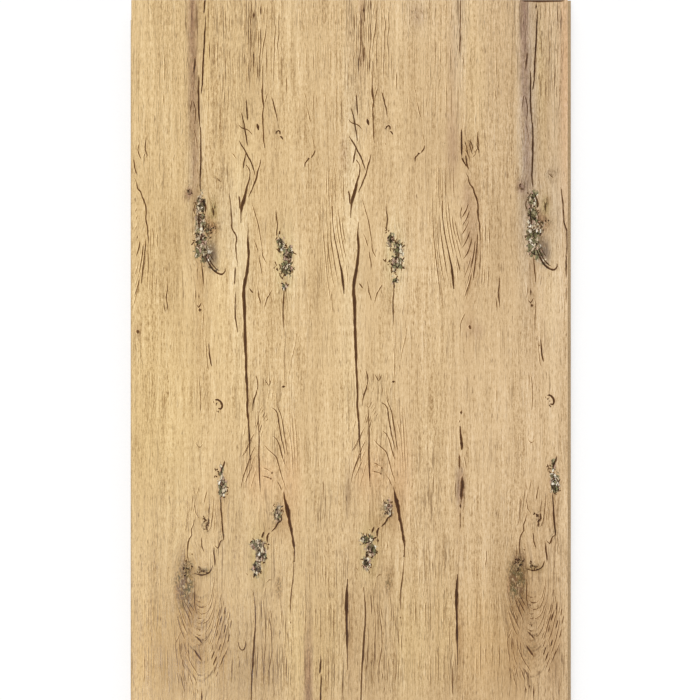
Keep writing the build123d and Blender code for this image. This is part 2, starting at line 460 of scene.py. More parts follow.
# %% The knotty board: the swirl and the seam
KNOTTY_BOARD += [
    # the swirl and its arm
    (1.2, 0.7, [(193, 573), (197, 574.5), (202, 575), (206, 574), (209.5, 572), (211.4, 568.6),
        (212.8, 564)]),
    (1.2, 0.5, [(198.5, 566), (200, 570), (203, 571.6), (207, 570.6)]),
    (1.2, 0.55, [(194.6, 580), (194.4, 590), (194.2, 600), (195, 608), (196.5, 614)]),
    (1.1, 0.5, [(181, 600), (186, 612), (189, 620), (192, 628)]),
    (1.1, 0.5, [(183, 599), (189, 610), (193, 618)]),
    (1.1, 0.5, [(185.5, 597), (190.6, 606), (194.5, 612)]),
    (1.1, 0.5, [(178, 607), (181, 617), (184, 627), (188, 634)]),
    (1.1, 0.45, [(175.5, 612), (178.5, 624), (182, 634), (186, 641)]),
    (1, 0.4, [(196, 604), (199, 607), (204, 607), (207, 604)]),
    (1, 0.45, [(197, 611), (201, 614), (207, 612), (210, 607), (212.5, 598), (214, 588)]),
    (1, 0.45, [(199, 621), (203, 623), (208, 620), (212, 612), (215, 602), (216.5, 592)]),
    (1, 0.45, [(200, 638), (204, 641), (208, 637), (211, 630), (213, 622), (215, 612)]),
    (1.1, 0.5, [(222, 601), (220, 612), (217, 624), (214, 636), (210.5, 646)]),
    (1.1, 0.45, [(226, 606), (224, 618), (221, 630), (219, 638), (216.5, 645), (217.8, 652)]),
    (1.1, 0.45, [(229, 620), (226, 632), (224, 642), (221, 652), (218, 660)]),
    (1.1, 0.45, [(228.5, 645), (225, 654), (221, 662), (218, 669)]),
    (1.8, 0.5, [(198, 628), (200, 632)]),
    (1.8, 0.55, [(195, 636), (199, 640), (202, 644)]),
    (2.2, 0.6, [(193, 649), (197, 655), (202, 662)]),
    (1.1, 0.45, [(181, 630), (178, 638), (175.4, 643), (175.6, 652), (177, 662), (178, 672)]),
    (1.1, 0.45, [(183, 640), (186, 652), (189, 660), (192, 666), (196, 672), (199.6, 678)]),
    (1.1, 0.45, [(180, 650), (182, 662), (184.4, 670)]),
    (1.1, 0.45, [(180, 672), (182, 684), (185, 694)]),
    (1, 0.4, [(188, 668), (188.2, 680)]),
    (1, 0.4, [(153, 564), (153.2, 574)]),
    (1, 0.4, [(154.8, 560), (154.8, 575)]),
    (1, 0.4, [(150.6, 632), (151, 646)]),
    (1.4, 0.7, [(201.3, 688), (201.5, 706)]),
    (1.6, 0.5, [(193, 690), (194, 698)]),
    (1.6, 0.5, [(197, 688), (197.4, 694)]),
    # the seam with the split board
    (1.2, 0.65, [(237.5, 640), (238.6, 646), (241, 650), (244, 649), (245.4, 644), (245.4, 640)]),
    (1.2, 0.5, [(232, 655), (231.6, 668), (231.6, 683)]),
    (1.1, 0.45, [(238, 654), (239, 661), (238.6, 668)]),
    (1.1, 0.45, [(226.4, 678), (226.6, 690), (226.6, 704)]),
]
print(len(KNOTTY_BOARD), "strokes on the knotty board")

# %% [markdown]
# The split board starts with short broken lines. Below them a few small twisted splits
# stand above the main one.

# %% The split board: the lines at the top and the twisted splits
SPLIT_BOARD = [
    # short broken lines at the top
    (1.2, 0.5, [(250, -6), (250.4, 8), (249.6, 16), (250.6, 26), (250, 36), (250.2, 50), (249.4, 60),
        (249.5, 76)]),
    (1.8, 0.7, [(253.6, 10), (253.6, 20)]),
    (1.5, 0.6, [(253.5, 50), (253.4, 60), (253, 70)]),
    (1, 0.5, [(255.5, -4), (255.8, 10)]),
    (1.1, 0.5, [(255.4, 25), (255.6, 35), (255.8, 46)]),
    (1, 0.45, [(244.6, 16), (244.4, 28), (244.2, 38)]),
    (1, 0.45, [(244.5, 52), (244.2, 60), (243, 66)]),
    (1, 0.4, [(246.6, 48), (246.8, 60)]),
    (1, 0.35, [(246, 70), (245.4, 88)]),
    (1.2, 0.85, [(246.2, 98), (246.6, 106), (247, 114), (247.6, 121)]),
    (1, 0.4, [(264.8, 4), (263.6, 14), (263, 22)]),
    (1, 0.4, [(261.5, 5), (260.5, 15)]),
    (1.1, 0.55, [(266, 22), (265.6, 30), (264.6, 38), (263.4, 44), (262.4, 52), (262.4, 60)]),
    (1.1, 0.55, [(261.6, 34), (260.6, 46), (259.4, 56), (259.4, 66), (259.6, 76)]),
    (1.3, 0.6, [(262.4, 66, 1), (262.6, 78, 1.1), (262, 88, 1.2), (262, 95, 1.6), (262.6, 101, 1.6),
        (263.4, 107, 1.2), (262.4, 113, 1.4), (262.6, 120, 1.3), (262.8, 126, 1.4), (263.2, 140, 1.2),
        (264.4, 148, 0.8)]),
    (1, 0.5, [(273.6, 12), (274, 20), (275.4, 28), (274.6, 36), (274, 44), (274, 52), (274.2, 60),
        (275.6, 66)]),
    (1, 0.55, [(277.6, 14), (278.4, 24), (278.6, 34), (277.4, 44), (278, 54), (278.4, 64)]),
    (1.2, 0.7, [(271, 96), (273, 102), (274.6, 109), (276.4, 116), (277, 123)]),
    (1, 0.55, [(267.6, 92), (266, 98), (264.4, 104)]),
    (1.4, 0.4, [(286, 75), (286, 85), (286, 95)]),
    (1, 0.35, [(283.6, 101), (284, 110)]),
    (1.2, 0.4, [(304, 92), (306, 100)]),
    (1.2, 0.45, [(306.6, 106), (308, 113), (309.4, 119), (310.5, 123)]),
    # the small twisted splits above the main one
    (1.1, 0.85, [(240.6, 111), (242.4, 118), (244, 124), (244.8, 130), (246, 136), (246.8, 142),
        (247.8, 147)]),
    (1, 0.65, [(238, 124), (241, 127.6), (245, 129), (249, 131), (252.6, 136)]),
    (1.2, 0.85, [(238.6, 140), (240.6, 144), (243, 147.5), (245.6, 152), (248, 157), (250.6, 161.5),
        (252.4, 166), (254, 171), (255.6, 177)]),
    (1.2, 0.8, [(245, 152), (245, 157), (244, 161), (243.6, 165), (242.6, 169)]),
    (2.4, 0.9, [(246, 165, 1), (248.6, 168.6, 1), (249.8, 173, 1.1), (249.2, 179, 1.3),
        (247.6, 184, 1.6), (246, 190, 1.9), (244.4, 197, 2.4), (242.6, 203, 2.8), (241.2, 209, 2),
        (240.6, 216, 1.2), (240.6, 223, 0.8)]),
    (1.6, 0.8, [(238.2, 195), (239.2, 200), (239.6, 205), (239.8, 210)]),
    (1.7, 1, [(256.9, 123.6, 0.8), (257.5, 126, 1.7), (258.1, 128.4, 1.6), (258.6, 130.4, 0.6)]),
    (1.2, 0.85, [(275.4, 134.6), (276.6, 131.6), (278.4, 130.6), (279.8, 132), (280, 135)]),
    (1.2, 0.85, [(279.4, 136), (281.6, 137.4), (283, 140)]),
    (1.4, 0.5, [(274.6, 148), (275.4, 150)]),
    (1.3, 0.75, [(261, 157), (260, 163), (258.6, 168), (257, 174), (255.6, 180), (253.4, 185),
        (251.6, 190), (249.6, 194), (248, 198)]),
    (1, 0.55, [(251.6, 202), (253.4, 209), (255.4, 216), (257.4, 223), (259, 230), (261, 243),
        (263, 257)]),
    (1.2, 0.65, [(314.8, 149), (314, 153), (312, 156), (310, 158.6)]),
    (1.3, 0.75, [(309, 158), (307, 160.4), (305, 163), (304.6, 168)]),
    (2.2, 0.9, [(308, 157.6), (309, 159.8)]),
    (1, 0.4, [(312.5, 138), (313.2, 143), (314.4, 149)]),
]
print(len(SPLIT_BOARD), "strokes so far")

# %% [markdown]
# The board's right side shows the left half of an arch, as fine rings close together. On
# the board's left runs the main split, which opens and closes on its way down.

# %% The split board: the arch and the main split
SPLIT_BOARD += [
    # the arch's left side: fine rings close together
    (1, 0.35, [(326, 170), (326, 200)]),
    (1, 0.35, [(329, 170), (329.4, 205)]),
    (1, 0.4, [(332, 170), (332.3, 200), (332.6, 230)]),
    (1, 0.35, [(335.6, 160), (335.6, 205)]),
    (1, 0.5, [(322, 212), (323, 235), (325.6, 263), (328.6, 289), (331.4, 306)]),
    (1, 0.5, [(327, 224), (327.4, 240), (328.6, 256), (332, 278), (335.6, 292)]),
    (1, 0.55, [(329.6, 216), (330, 230), (331.4, 245), (335, 268), (338.4, 285)]),
    (1.2, 0.8, [(332, 206, 0.7), (332.4, 222, 0.8), (334.4, 238, 0.9), (338.6, 258, 1),
        (341.4, 271, 1.5), (342.6, 281, 1.6), (343.8, 294, 0.8)]),
    (1, 0.5, [(335, 208), (337, 228), (341, 250), (344.4, 266)]),
    (1, 0.52, [(338, 205), (338.6, 216), (340.2, 230), (343.6, 249), (346, 259)]),
    (1, 0.5, [(341.4, 218), (343, 232), (345.6, 243)]),
    (1, 0.4, [(331, 290), (331.6, 300), (332, 308), (333, 316)]),
    (1, 0.4, [(345.6, 262), (347, 275), (348, 290)]),
    # the main split
    (2.6, 0.95, [(248, 227, 0.7), (247.6, 236, 1.2), (247.8, 244, 1.9), (248.4, 252, 1.9),
        (248, 260, 2), (247.2, 268, 2.1), (246, 276, 2.3), (244.6, 283, 2.4), (243.6, 290, 2.5),
        (243.4, 296, 2.5), (244, 303, 2.5), (244.4, 312, 2.4), (244.6, 322, 2.2), (244.8, 332, 2.2),
        (245, 342, 2.2), (245.4, 352, 2.2), (245.8, 362, 2), (246, 372, 1.9), (246.6, 382, 1.8),
        (247, 390, 1.7), (247.4, 400, 1.7), (247, 408, 1.9), (247.6, 416, 1.8), (248.2, 424, 1.5),
        (248.6, 430, 1)]),
    (1.3, 1, [(248.2, 420, 0.6), (248.8, 431, 1.4), (249.1, 440, 1.3), (249.5, 448, 0.9),
        (250, 457, 0.8), (250.6, 466, 0.4)]),
    (1.2, 0.7, [(275.6, 208), (276, 216), (277.2, 224), (276.4, 232), (276.6, 237)]),
    (1.3, 0.7, [(283.6, 288), (283.6, 296), (283, 303), (282.8, 312), (283, 320), (283, 332)]),
    (1.4, 0.7, [(249, 288), (251, 291), (253, 293.6)]),
    (1.1, 0.6, [(256.4, 284), (258, 292), (258.6, 297), (260.6, 303), (261, 306)]),
    (1.1, 0.6, [(272, 289), (270, 293), (267, 298), (265.4, 303), (264.4, 308)]),
    (1.1, 0.6, [(258.6, 255), (259.6, 262), (261, 270), (260.6, 275)]),
    (1, 0.55, [(261.4, 246), (262, 254), (264, 259), (266, 263)]),
    (1, 0.5, [(253, 238), (256, 246), (258, 253)]),
    (1, 0.4, [(284.6, 335), (284.6, 350), (284.4, 370), (284.4, 385)]),
    (1, 0.4, [(297, 330), (295.6, 341), (293.6, 350), (291.6, 358), (290.6, 366)]),
    (1.1, 0.45, [(288.6, 368), (289.6, 376)]),
    (3, 0.85, [(282.8, 385.4), (283.4, 388)]),
    (1, 0.5, [(281, 389), (280.4, 399)]),
]
print(len(SPLIT_BOARD), "strokes so far")

# %% [markdown]
# Beside the main split's lower end comes a restless stretch of short leaning lines. The
# thick split stands below it, with its prongs on the left.

# %% The split board: the restless stretch and the thick split
SPLIT_BOARD += [
    # the restless stretch beside the main split
    (1.1, 0.6, [(264.5, 379), (266.6, 383), (268.6, 386.6)]),
    (1.1, 0.6, [(271, 379), (270, 383), (268.8, 386)]),
    (1.2, 0.65, [(255.6, 374), (257, 380), (257.6, 386), (256.8, 391)]),
    (1, 0.5, [(250, 372), (250.4, 380)]),
    (1.3, 0.75, [(256.6, 390, 0.9), (255.6, 395, 1.2), (254, 399, 1.5), (252.8, 404, 1),
        (252, 411, 0.6)]),
    (1, 0.4, [(276.6, 390), (276.6, 400), (278.6, 408)]),
    (1.2, 0.7, [(270.5, 407.5), (274.5, 409.5), (277, 413), (278, 418), (278.8, 424), (280, 432),
        (281.5, 440), (283.5, 448), (285, 456)]),
    (1.1, 0.6, [(276, 399), (277, 406), (280, 413), (282, 420), (283.5, 430), (285, 440), (286.5, 450),
        (288, 458)]),
    (1.2, 0.58, [(272, 436), (276, 439), (279, 445), (281, 453), (283, 460), (285, 466)]),
    (1, 0.4, [(286, 423), (289, 434), (290.6, 443), (291.6, 453)]),
    (1.3, 0.7, [(257.6, 411, 0.8), (258.3, 424, 1), (258.8, 436, 1.2), (258.8, 444, 1.4),
        (258.6, 455, 1.3), (259, 470, 1.4), (259.4, 480, 1.2), (260, 492, 0.7)]),
    (1, 0.4, [(246, 424), (244.4, 430), (243, 437)]),
    (1, 0.52, [(253, 436), (249.6, 444), (246.4, 450), (243, 456)]),
    (1.1, 0.6, [(256, 444), (252, 452), (249, 460), (246, 468), (243.6, 475), (241.6, 483),
        (240.6, 490)]),
    (1, 0.4, [(255.6, 454), (252.6, 461), (250, 469), (247, 477), (244.6, 487)]),
    (1, 0.4, [(256.6, 467), (254, 476), (251.6, 484), (249.8, 492)]),
    (1.2, 0.55, [(263, 444), (268, 450), (275, 456), (277, 460), (279, 467), (281, 475), (284, 484),
        (286, 490)]),
    (1, 0.5, [(262, 468), (266, 469), (271, 472.4)]),
    (1.8, 0.5, [(270.4, 472), (272.6, 474)]),
    (1, 0.5, [(261, 476), (267, 477.4), (271, 478.6)]),
    (1.8, 0.7, [(269.4, 477.8), (271.6, 479.4)]),
    (1.1, 0.55, [(276, 480), (279.6, 486), (281.4, 491)]),
    (1, 0.4, [(292.6, 456), (292.6, 462), (293, 468)]),
    # the thick split and its prongs
    (2.9, 1, [(283.6, 490, 0.6), (284, 496, 1.4), (285, 501, 2.1), (286.4, 506, 2.9),
        (287.6, 511, 2.9), (288.4, 516, 2.4), (289.2, 522, 2.2), (290.4, 527, 2.1), (291.4, 532, 1.9),
        (292.4, 537, 1.8), (293, 542, 2.1), (293.8, 546, 1.9), (294.2, 550, 1.3), (294, 556, 1.2),
        (293.8, 562, 1.2)]),
    (1.2, 0.65, [(293.8, 560), (293.4, 570), (292.8, 578), (292, 585), (291, 592), (290.4, 600),
        (290, 608), (290, 616)]),
    (1.4, 0.8, [(282.8, 513), (281, 516.4), (281.2, 520), (279.6, 521.6), (277.6, 523), (275.6, 527),
        (272.8, 530), (271, 532)]),
    (1, 0.4, [(271, 534), (270.8, 545), (271, 562)]),
    (1.6, 0.8, [(269.4, 532), (267.6, 535), (267, 538), (267.4, 543)]),
    (1.6, 0.8, [(264, 531), (262.6, 535), (261.6, 538.4)]),
    (1.2, 0.6, [(258.4, 534), (260, 536)]),
    (1.1, 0.5, [(268.6, 527), (268.8, 530)]),
    (1, 0.4, [(259, 505), (258.6, 520), (258.8, 531)]),
    (1.2, 0.5, [(245.6, 573), (248, 576)]),
    (1, 0.4, [(273.6, 545), (273.6, 556)]),
    (1, 0.4, [(276.6, 545), (276.8, 556)]),
    (1, 0.4, [(266, 583), (268.6, 580), (272, 580)]),
    (1, 0.4, [(265.6, 586), (264.6, 592), (264.6, 600)]),
    (1, 0.5, [(323, 478), (322.8, 490), (322.8, 502)]),
]
print(len(SPLIT_BOARD), "strokes so far")

# %% [markdown]
# The bottom of the board is calmer: long lines side by side, and one dark split at the
# right.

# %% The split board: the lines at the bottom
SPLIT_BOARD += [
    # the long lines at the bottom
    (1.6, 0.68, [(253, 592, 0.9), (254, 600, 1), (255, 608, 1.2), (255.2, 616, 1.2), (255, 626, 1.3),
        (254.4, 634, 1.4), (253.8, 642, 1.7), (253.2, 652, 1.8), (252.7, 664, 1.7), (251.6, 676, 1.3),
        (250.8, 706, 1.2)]),
    (1.1, 0.5, [(257.8, 640), (257.6, 650), (257, 660), (256.6, 670), (255.6, 680), (255, 704)]),
    (1.1, 0.5, [(264, 610), (265, 624), (265, 636), (264.6, 645), (264.4, 655), (263.6, 665),
        (263, 675), (262.6, 690)]),
    (1.1, 0.5, [(266.6, 606), (268, 613), (269.6, 622), (271, 632), (271.4, 642), (271.6, 652),
        (270.4, 660), (269, 668), (267.6, 676), (266.4, 684)]),
    (1.1, 0.5, [(272, 676), (272.6, 684)]),
    (1.1, 0.5, [(274, 690), (273.6, 698)]),
    (1, 0.4, [(278.6, 660), (277.6, 675), (277.4, 690)]),
    (1, 0.4, [(284, 640), (284.6, 655), (283, 668), (282.6, 682)]),
    (1.8, 0.5, [(289.6, 621), (290.2, 624)]),
    (1, 0.4, [(322, 560), (322, 578)]),
    (2.4, 1, [(347.4, 579, 0.9), (347, 586, 1.4), (346.6, 592, 2), (346.4, 600, 2.6),
        (346.2, 608, 2.3), (346.4, 616, 1.8), (346.6, 624, 1.6), (346.8, 632, 1.7), (346.8, 640, 1.8),
        (347, 650, 1.2), (347.4, 670, 0.7)]),
    (1, 0.4, [(338.6, 618), (338.8, 630), (339, 645), (338.6, 660)]),
    (1.2, 0.6, [(343, 665), (342.6, 680), (342.4, 690), (343, 704)]),
]
print(len(SPLIT_BOARD), "strokes on the split board")

# %% [markdown]
# Much of the figure is families of fine lines that run side by side, as in the flame and the
# arches. Listing each line would be endless, so a family is listed by its first and its last
# line, and the lines between are drawn at uneven distances, each torn into a few pieces.

# %% Families of fine lines: width, depth, lines, pieces of each line, first line, last line
KNOTTY_FAMILIES = [
    # the arch's right side, which the left edge cuts
    (1, 0.5, 3, 1, [(130, 281), (134, 272), (137.6, 262), (140, 250)],
     [(134, 316), (138, 297), (141.6, 277), (145, 250)]),
    (1, 0.4, 4, 2, [(146, 225), (147, 260), (145, 300)], [(158, 225), (158, 260), (156, 300)]),
    # the fan, the bowls and the leaning lines of the swirl
    (1, 0.5, 6, 1, [(187, 596), (191, 604), (195, 611)], [(173, 610), (179, 629), (187, 645)]),
    (1, 0.45, 7, 1, [(194.6, 598), (198, 600), (202, 600)], [(195, 646), (199, 648), (204, 646)]),
    (1, 0.45, 4, 1, [(205, 604), (209, 597), (212, 586), (213.6, 572)],
     [(204, 642), (211, 630), (216, 610), (220, 576)]),
    (1, 0.6, 6, 4, [(220, 590), (218, 608), (213, 626), (208, 642)],
     [(233, 615), (229, 640), (222, 664), (214, 684)]),
    (1, 0.5, 5, 2, [(175, 628), (173.6, 650), (175.6, 672), (179, 696)],
     [(188, 640), (189.6, 660), (194, 676), (201, 690)]),
    # beside the flame-shaped figure
    (0.9, 0.5, 4, 1, [(186, 490), (185, 515), (182, 540)], [(198, 486), (195, 505), (192, 525)]),
    (0.9, 0.45, 3, 1, [(212, 492), (212, 515), (209, 535)], [(218, 500), (217.6, 520), (217, 536)]),
    (0.9, 0.4, 5, 3, [(140, 560), (141, 610), (140, 690)], [(170, 560), (168, 610), (170, 690)]),
    (0.9, 0.45, 6, 3, [(207, 0), (208, 50), (207, 110)], [(232, 0), (232, 60), (230, 120)]),
]
SPLIT_FAMILIES = [
    # the lines at the top
    (0.9, 0.55, 5, 3, [(246, -4), (246.2, 40), (245.6, 84)], [(263, -4), (262.6, 40), (261, 90)]),
    (0.9, 0.45, 5, 2, [(266, -4), (265, 40), (265, 84)], [(284, -4), (283.6, 40), (283, 100)]),
    # the flame: its left fan, its bowed right side, the straight lines outside
    (0.9, 0.5, 3, 1, [(256.6, 424), (251, 434), (246, 444), (240, 454)],
     [(257, 466), (251, 480), (245, 494), (241.6, 504)]),
    (0.9, 0.5, 3, 1, [(288, 405), (289, 425), (290, 445), (292, 470), (292.6, 492)],
     [(293, 400), (296, 425), (298, 450), (298, 470), (298, 494)]),
    (0.9, 0.55, 5, 2, [(262, 404), (257, 414), (253.4, 428)], [(270, 416), (264, 426), (260, 442)]),
    (0.9, 0.45, 4, 2, [(260, 372), (261, 390), (260, 402)], [(282, 372), (281, 390), (279, 404)]),
    # the arch's left side
    (0.9, 0.5, 5, 1, [(325, 150), (325, 190), (327, 225)], [(344, 170), (344.6, 190), (346, 210)]),
    (0.9, 0.4, 3, 2, [(318, 200), (319, 250), (321, 300)], [(326, 190), (327, 240), (329, 280)]),
    # the long lines at the bottom
    (0.9, 0.5, 4, 2, [(257.6, 590), (258.6, 620), (258.6, 655), (258, 704)],
     [(271, 600), (275, 630), (276, 665), (274, 704)]),
    (0.9, 0.5, 5, 2, [(277, 585), (280, 615), (282, 650), (281, 704)],
     [(292, 640), (292, 660), (291, 680), (290, 704)]),
    (0.9, 0.4, 7, 3, [(300, 560), (301, 620), (300, 704)], [(338, 560), (337, 620), (338, 704)]),
    (0.9, 0.4, 8, 3, [(296, 0), (297, 60), (296, 130)], [(346, 0), (345, 60), (346, 130)]),
]

# %% [markdown]
# A last short list holds what doesn't repeat: the marks along the seam right of the middle,
# and the dark mark across the plank's end.

# %% Marks that the print shows once
SEAM_MARKS = [
    (1.1, 0.65, [(460.6, -6), (460.3, 10), (459.9, 30), (459.8, 48), (459.7, 60)]),
    (1.2, 0.6, [(459.8, 32), (459.7, 44), (459.6, 56)]),
    (1.2, 0.5, [(454.5, 55), (454.2, 63)]),
    (1, 0.45, [(462, 54), (463.4, 62), (464, 73)]),
    (1.1, 0.5, [(457.4, 82), (457.6, 100), (457.9, 118)]),
    (1.1, 0.4, [(466.6, 88), (466.8, 104)]),
    (1.5, 0.9, [(461.2, 128), (461.4, 138), (461.6, 148), (461.6, 157)]),
    (1.4, 0.85, [(461.6, 157), (463, 160.6), (465.2, 164), (466.6, 167)]),
    (1.2, 0.6, [(477.6, 130), (477.6, 138), (478.6, 145), (477.6, 151)]),
    (1.2, 0.6, [(468, 140), (471, 143), (472.4, 148), (470, 152)]),
    (1.1, 0.55, [(463.6, 140), (466, 146), (467, 152), (468.4, 160)]),
    (1.1, 0.5, [(474, 150), (475, 154), (471, 158)]),
    (1.1, 0.5, [(465, 150), (467.6, 154), (470, 162)]),
    (2.2, 0.7, [(461, 410), (460.8, 415)]),
    (1.6, 0.5, [(460, 419), (458.6, 423)]),
    (2.2, 0.9, [(459.8, 426, 1.2), (460.4, 434, 1.6), (461.2, 441, 2), (461.8, 446, 2.2),
        (461.6, 450, 1)]),
    (1.8, 0.6, [(458.8, 453), (459, 462), (459.8, 470)]),
    (1, 0.45, [(463.4, 455), (465.4, 463), (466, 473)]),
    (4, 0.74, [(461.8, 476, 1.2), (461.7, 482, 3), (461.6, 488, 2.8), (460.8, 495, 3.2),
        (460.5, 502, 0.8)]),
    (1.6, 0.8, [(460, 503), (460.2, 509)]),
    (1.3, 0.55, [(460, 511), (459.8, 520), (459.4, 532)]),
    (1.1, 0.45, [(455.2, 480), (454.8, 490), (455.6, 500)]),
    (1.2, 0.5, [(486, 549), (486.2, 556), (486, 564)]),
    (1, 0.52, [(454.6, 219), (456.4, 230), (458.6, 239), (461.6, 248.6)]),
    (1, 0.52, [(455.4, 238), (457.4, 245), (459.3, 252), (461.2, 260)]),
    (1, 0.6, [(455.6, 252), (457.9, 263), (460.3, 273)]),
    (1, 0.6, [(462, 205), (460.4, 213), (461, 222)]),
    (1.1, 0.5, [(466, 311.4), (462.2, 318.6), (460.4, 324), (460, 334)]),
    (1.1, 0.5, [(555, 66), (554.4, 76), (554.6, 92)]),
    (2, 0.8, [(519, 0.7), (530, 0.6), (545, 0.7), (556, 0.6), (565, 0.7)]),
    # the split that runs off at the right edge
    (1.1, 0.85, [(563.6, 219), (564.1, 223), (565.4, 227), (566.8, 231), (566.9, 240), (566.8, 249),
        (566.2, 256)]),
    (1.1, 0.85, [(566.3, 254), (566, 262), (566, 270), (566.1, 279)]),
    (1, 0.7, [(566.2, 286), (565.9, 293), (566.4, 303)]),
    # the borders of the purple stripe at the end, and the dashes beside it
    (1.1, 0.65, [(363.8, -6), (364, 8), (364.2, 16), (364.4, 24)]),
    (1, 0.55, [(364.2, 44), (364.4, 54), (364.4, 62)]),
    (1, 0.5, [(356.6, 6), (356.2, 18), (356.6, 30), (356, 44), (356.2, 62)]),
    (1.2, 0.55, [(411, 9), (411.8, 15)]),
    (1.2, 0.55, [(415, 7), (416.2, 13)]),
    (1.2, 0.5, [(416.4, 15), (417, 20)]),
    (1.2, 0.5, [(421, 10), (422, 15)]),
    # the darker parts of the hollow in the seam
    (1.4, 0.8, [(462.6, 483), (462.9, 486), (462.6, 489)]),
    (1.5, 0.8, [(460.8, 490), (461.4, 494), (460.9, 499)]),
]

# %% [markdown]
# The knots hold a crumbly filling that the press plate copies as many small pits. They are
# listed as a centre and a half-width each, because no two of them are alike.

# %% Crumbs of the knots and clumps
KNOTTY_CRUMBS = [
    (197, 200, 1.6), (201, 202, 1.8), (196, 207, 1.5), (201, 208, 2), (204, 204, 1.4), (199, 214, 1.6),
    (203, 212, 1.5), (197, 219, 1.8), (201, 219, 1.6), (205, 217, 1.4), (199, 226, 1.7),
    (203, 225, 1.5), (197, 232, 1.8), (201, 234, 2), (205, 231, 1.3), (198, 240, 2), (202, 242, 1.8),
    (204, 248, 1.7), (199, 248, 2), (202, 255, 1.8), (207, 254, 1.4), (199, 256, 1.5), (210, 230, 1.2),
    (207, 234, 1.3), (208, 228, 1.3), (211, 233, 1.4), (215, 227, 1), (204, 238, 1.4), (193, 243, 1.2),
    (208, 240, 1.3), (216, 404, 0.8), (218, 411, 0.8), (215.5, 470, 1.2), (218, 473, 1.2),
    (216, 476, 1.2), (221, 481, 1.8), (224, 483, 2), (222, 487, 1.9), (226, 488, 1.6),
    (219.6, 491, 1.4), (223.4, 492.5, 2), (226.6, 494, 1.5), (222, 497, 1.4), (186, 563, 1.8),
    (184.4, 567, 1.6), (188, 569, 1.5), (186, 573, 1.4), (191, 566, 1.2), (199, 568, 1), (202, 571, 1),
    (198, 572, 0.8), (206, 573.6, 0.9), (205, 521, 1.2), (207.4, 525, 1.1), (206, 530, 1.1),
    (203, 518, 0.9), (188, 190, 1), (190, 194, 0.9),
]
SPLIT_CRUMBS = [
    (278, 236, 2), (279.5, 241, 2), (281.8, 243, 1.5), (280, 247, 1.8), (284.5, 246, 1.8),
    (280.5, 252, 2.2), (283.4, 255.6, 1.4), (288, 249, 1.8), (292, 252, 2.2), (288.4, 254, 2),
    (287, 258.4, 1.5), (288, 263, 2.5), (291.6, 266.4, 2.2), (285, 265, 1.5), (281, 266, 1.5),
    (275.4, 266.5, 1.5), (277.4, 269, 1.1), (283, 270, 2), (292.4, 271.4, 2.2), (287, 273, 2.2),
    (283, 276, 2), (280.6, 275, 1.5), (283.4, 286.4, 2.6), (287, 285, 1.6), (256, 541, 2),
    (259.4, 543.4, 2), (252.6, 541, 1.3), (254, 548, 2), (263, 545, 2.2), (266.6, 546, 1.6),
    (259, 549, 2), (264, 553, 2), (258, 556, 2), (262, 558, 2.5), (266, 557, 1.5), (256, 561.6, 2.2),
    (254, 566, 2.4), (257.6, 567, 1.7), (262, 563, 1.4), (254, 571.4, 1.8), (257.4, 573.6, 2),
    (261, 571, 1.4), (274, 508, 1.2), (277, 511, 1.4), (275, 516, 1.3), (279, 514, 1.2),
    (278, 519, 1.3), (282, 509, 1.1),
]
print(len(KNOTTY_BOARD) + len(SPLIT_BOARD), "strokes on the two boards")
print(len(KNOTTY_CRUMBS) + len(SPLIT_CRUMBS), "crumbs in their knots")

# %% [markdown]
# ## Cutting the splits
#
# A split in the print is a narrow V. It could be painted, but a real V catches the light on
# one side, and the finish adds a painted highlight to its left wall as well. Each stroke becomes
# a curve with a four-sided bevel, flattened in height, so that its lower half is a V whose width
# follows the split's. The ends taper to nothing, as a torn fibre does. Every cut is SPREAD times
# as wide as its mark looks, because the top of a V stays pale, and its depth is raised to the
# power FAINTNESS, so that faint marks stay faint.

# %% Curves that taper
CUT_DEPTH = 0.2 * MM
TIP = 0.16
TAPER = 0.3
WANDER_PX = 0.22
SPREAD = 1.75
TORN_WIDTHS = (0.85, 1.15)
FAINTNESS = 2.0
draws = random.Random(7)


def torn_path(points, width):
    """The points and one more between each two, on a smooth line but a little off it, with widths."""
    spans = len(points) - 1
    path = []
    for place, point in enumerate(points):
        own_width = between_width = None
        if len(point) == 3:
            own_width = point[2]
        if place:
            before, after = points[max(place - 2, 0)], points[min(place + 1, spans)]
            last = points[place - 1]
            between = [(9 * (last[i] + point[i]) - before[i] - after[i]) / 16 for i in (0, 1)]
            between[0] += draws.uniform(-WANDER_PX, WANDER_PX)
            if len(point) == 3:
                between_width = (last[2] + point[2]) / 2
            path.append((*between, (place - 0.5) / spans, between_width))
        path.append((point[0], point[1], place / spans, own_width))
    torn = []
    for x_px, y_px, place, own_width in path:
        if own_width is None:
            own_width = width * max(TIP, math.sin(math.pi * place) ** TAPER)
        torn.append((x_px, y_px, SPREAD * own_width * draws.uniform(*TORN_WIDTHS)))
    return torn


def draw_stroke(width, depth, points, shift):
    """A stroke as a tapered curve that lies in the face, flattened to its depth."""
    curve = bpy.data.curves.new("stroke", "CURVE")
    curve.dimensions = "3D"
    curve.twist_mode = "Z_UP"
    curve.bevel_depth = 1.0
    curve.bevel_resolution = 0
    curve.use_fill_caps = True
    spline = curve.splines.new("POLY")
    torn = torn_path(points, width)
    spline.points.add(len(torn) - 1)
    for (x_px, y_px, own_width), knot in zip(torn, spline.points):
        knot.co = (across_face(x_px + shift[0]), along_face(y_px + shift[1]), 0, 1)
        knot.radius = own_width / 2 * PIXEL
    stroke = bpy.data.objects.new("stroke", curve)
    bpy.context.collection.objects.link(stroke)
    stroke.location.z = FACE_TOP
    stroke.scale.z = depth**FAINTNESS * CUT_DEPTH / (SPREAD * width / 2 * PIXEL)
    return stroke


# %% Drawing a family between its first and last line
LINE_PLACES = (0.2, 0.8)
PIECE_STARTS = (0, 0.3)
PIECE_STOPS = (0.6, 0.95)
FAMILY_WIDTHS = (0.8, 1.2)
FAMILY_DEPTHS = (0.7, 1.2)
WHOLE_LINE_STEPS, PIECE_STEPS = 4, 2


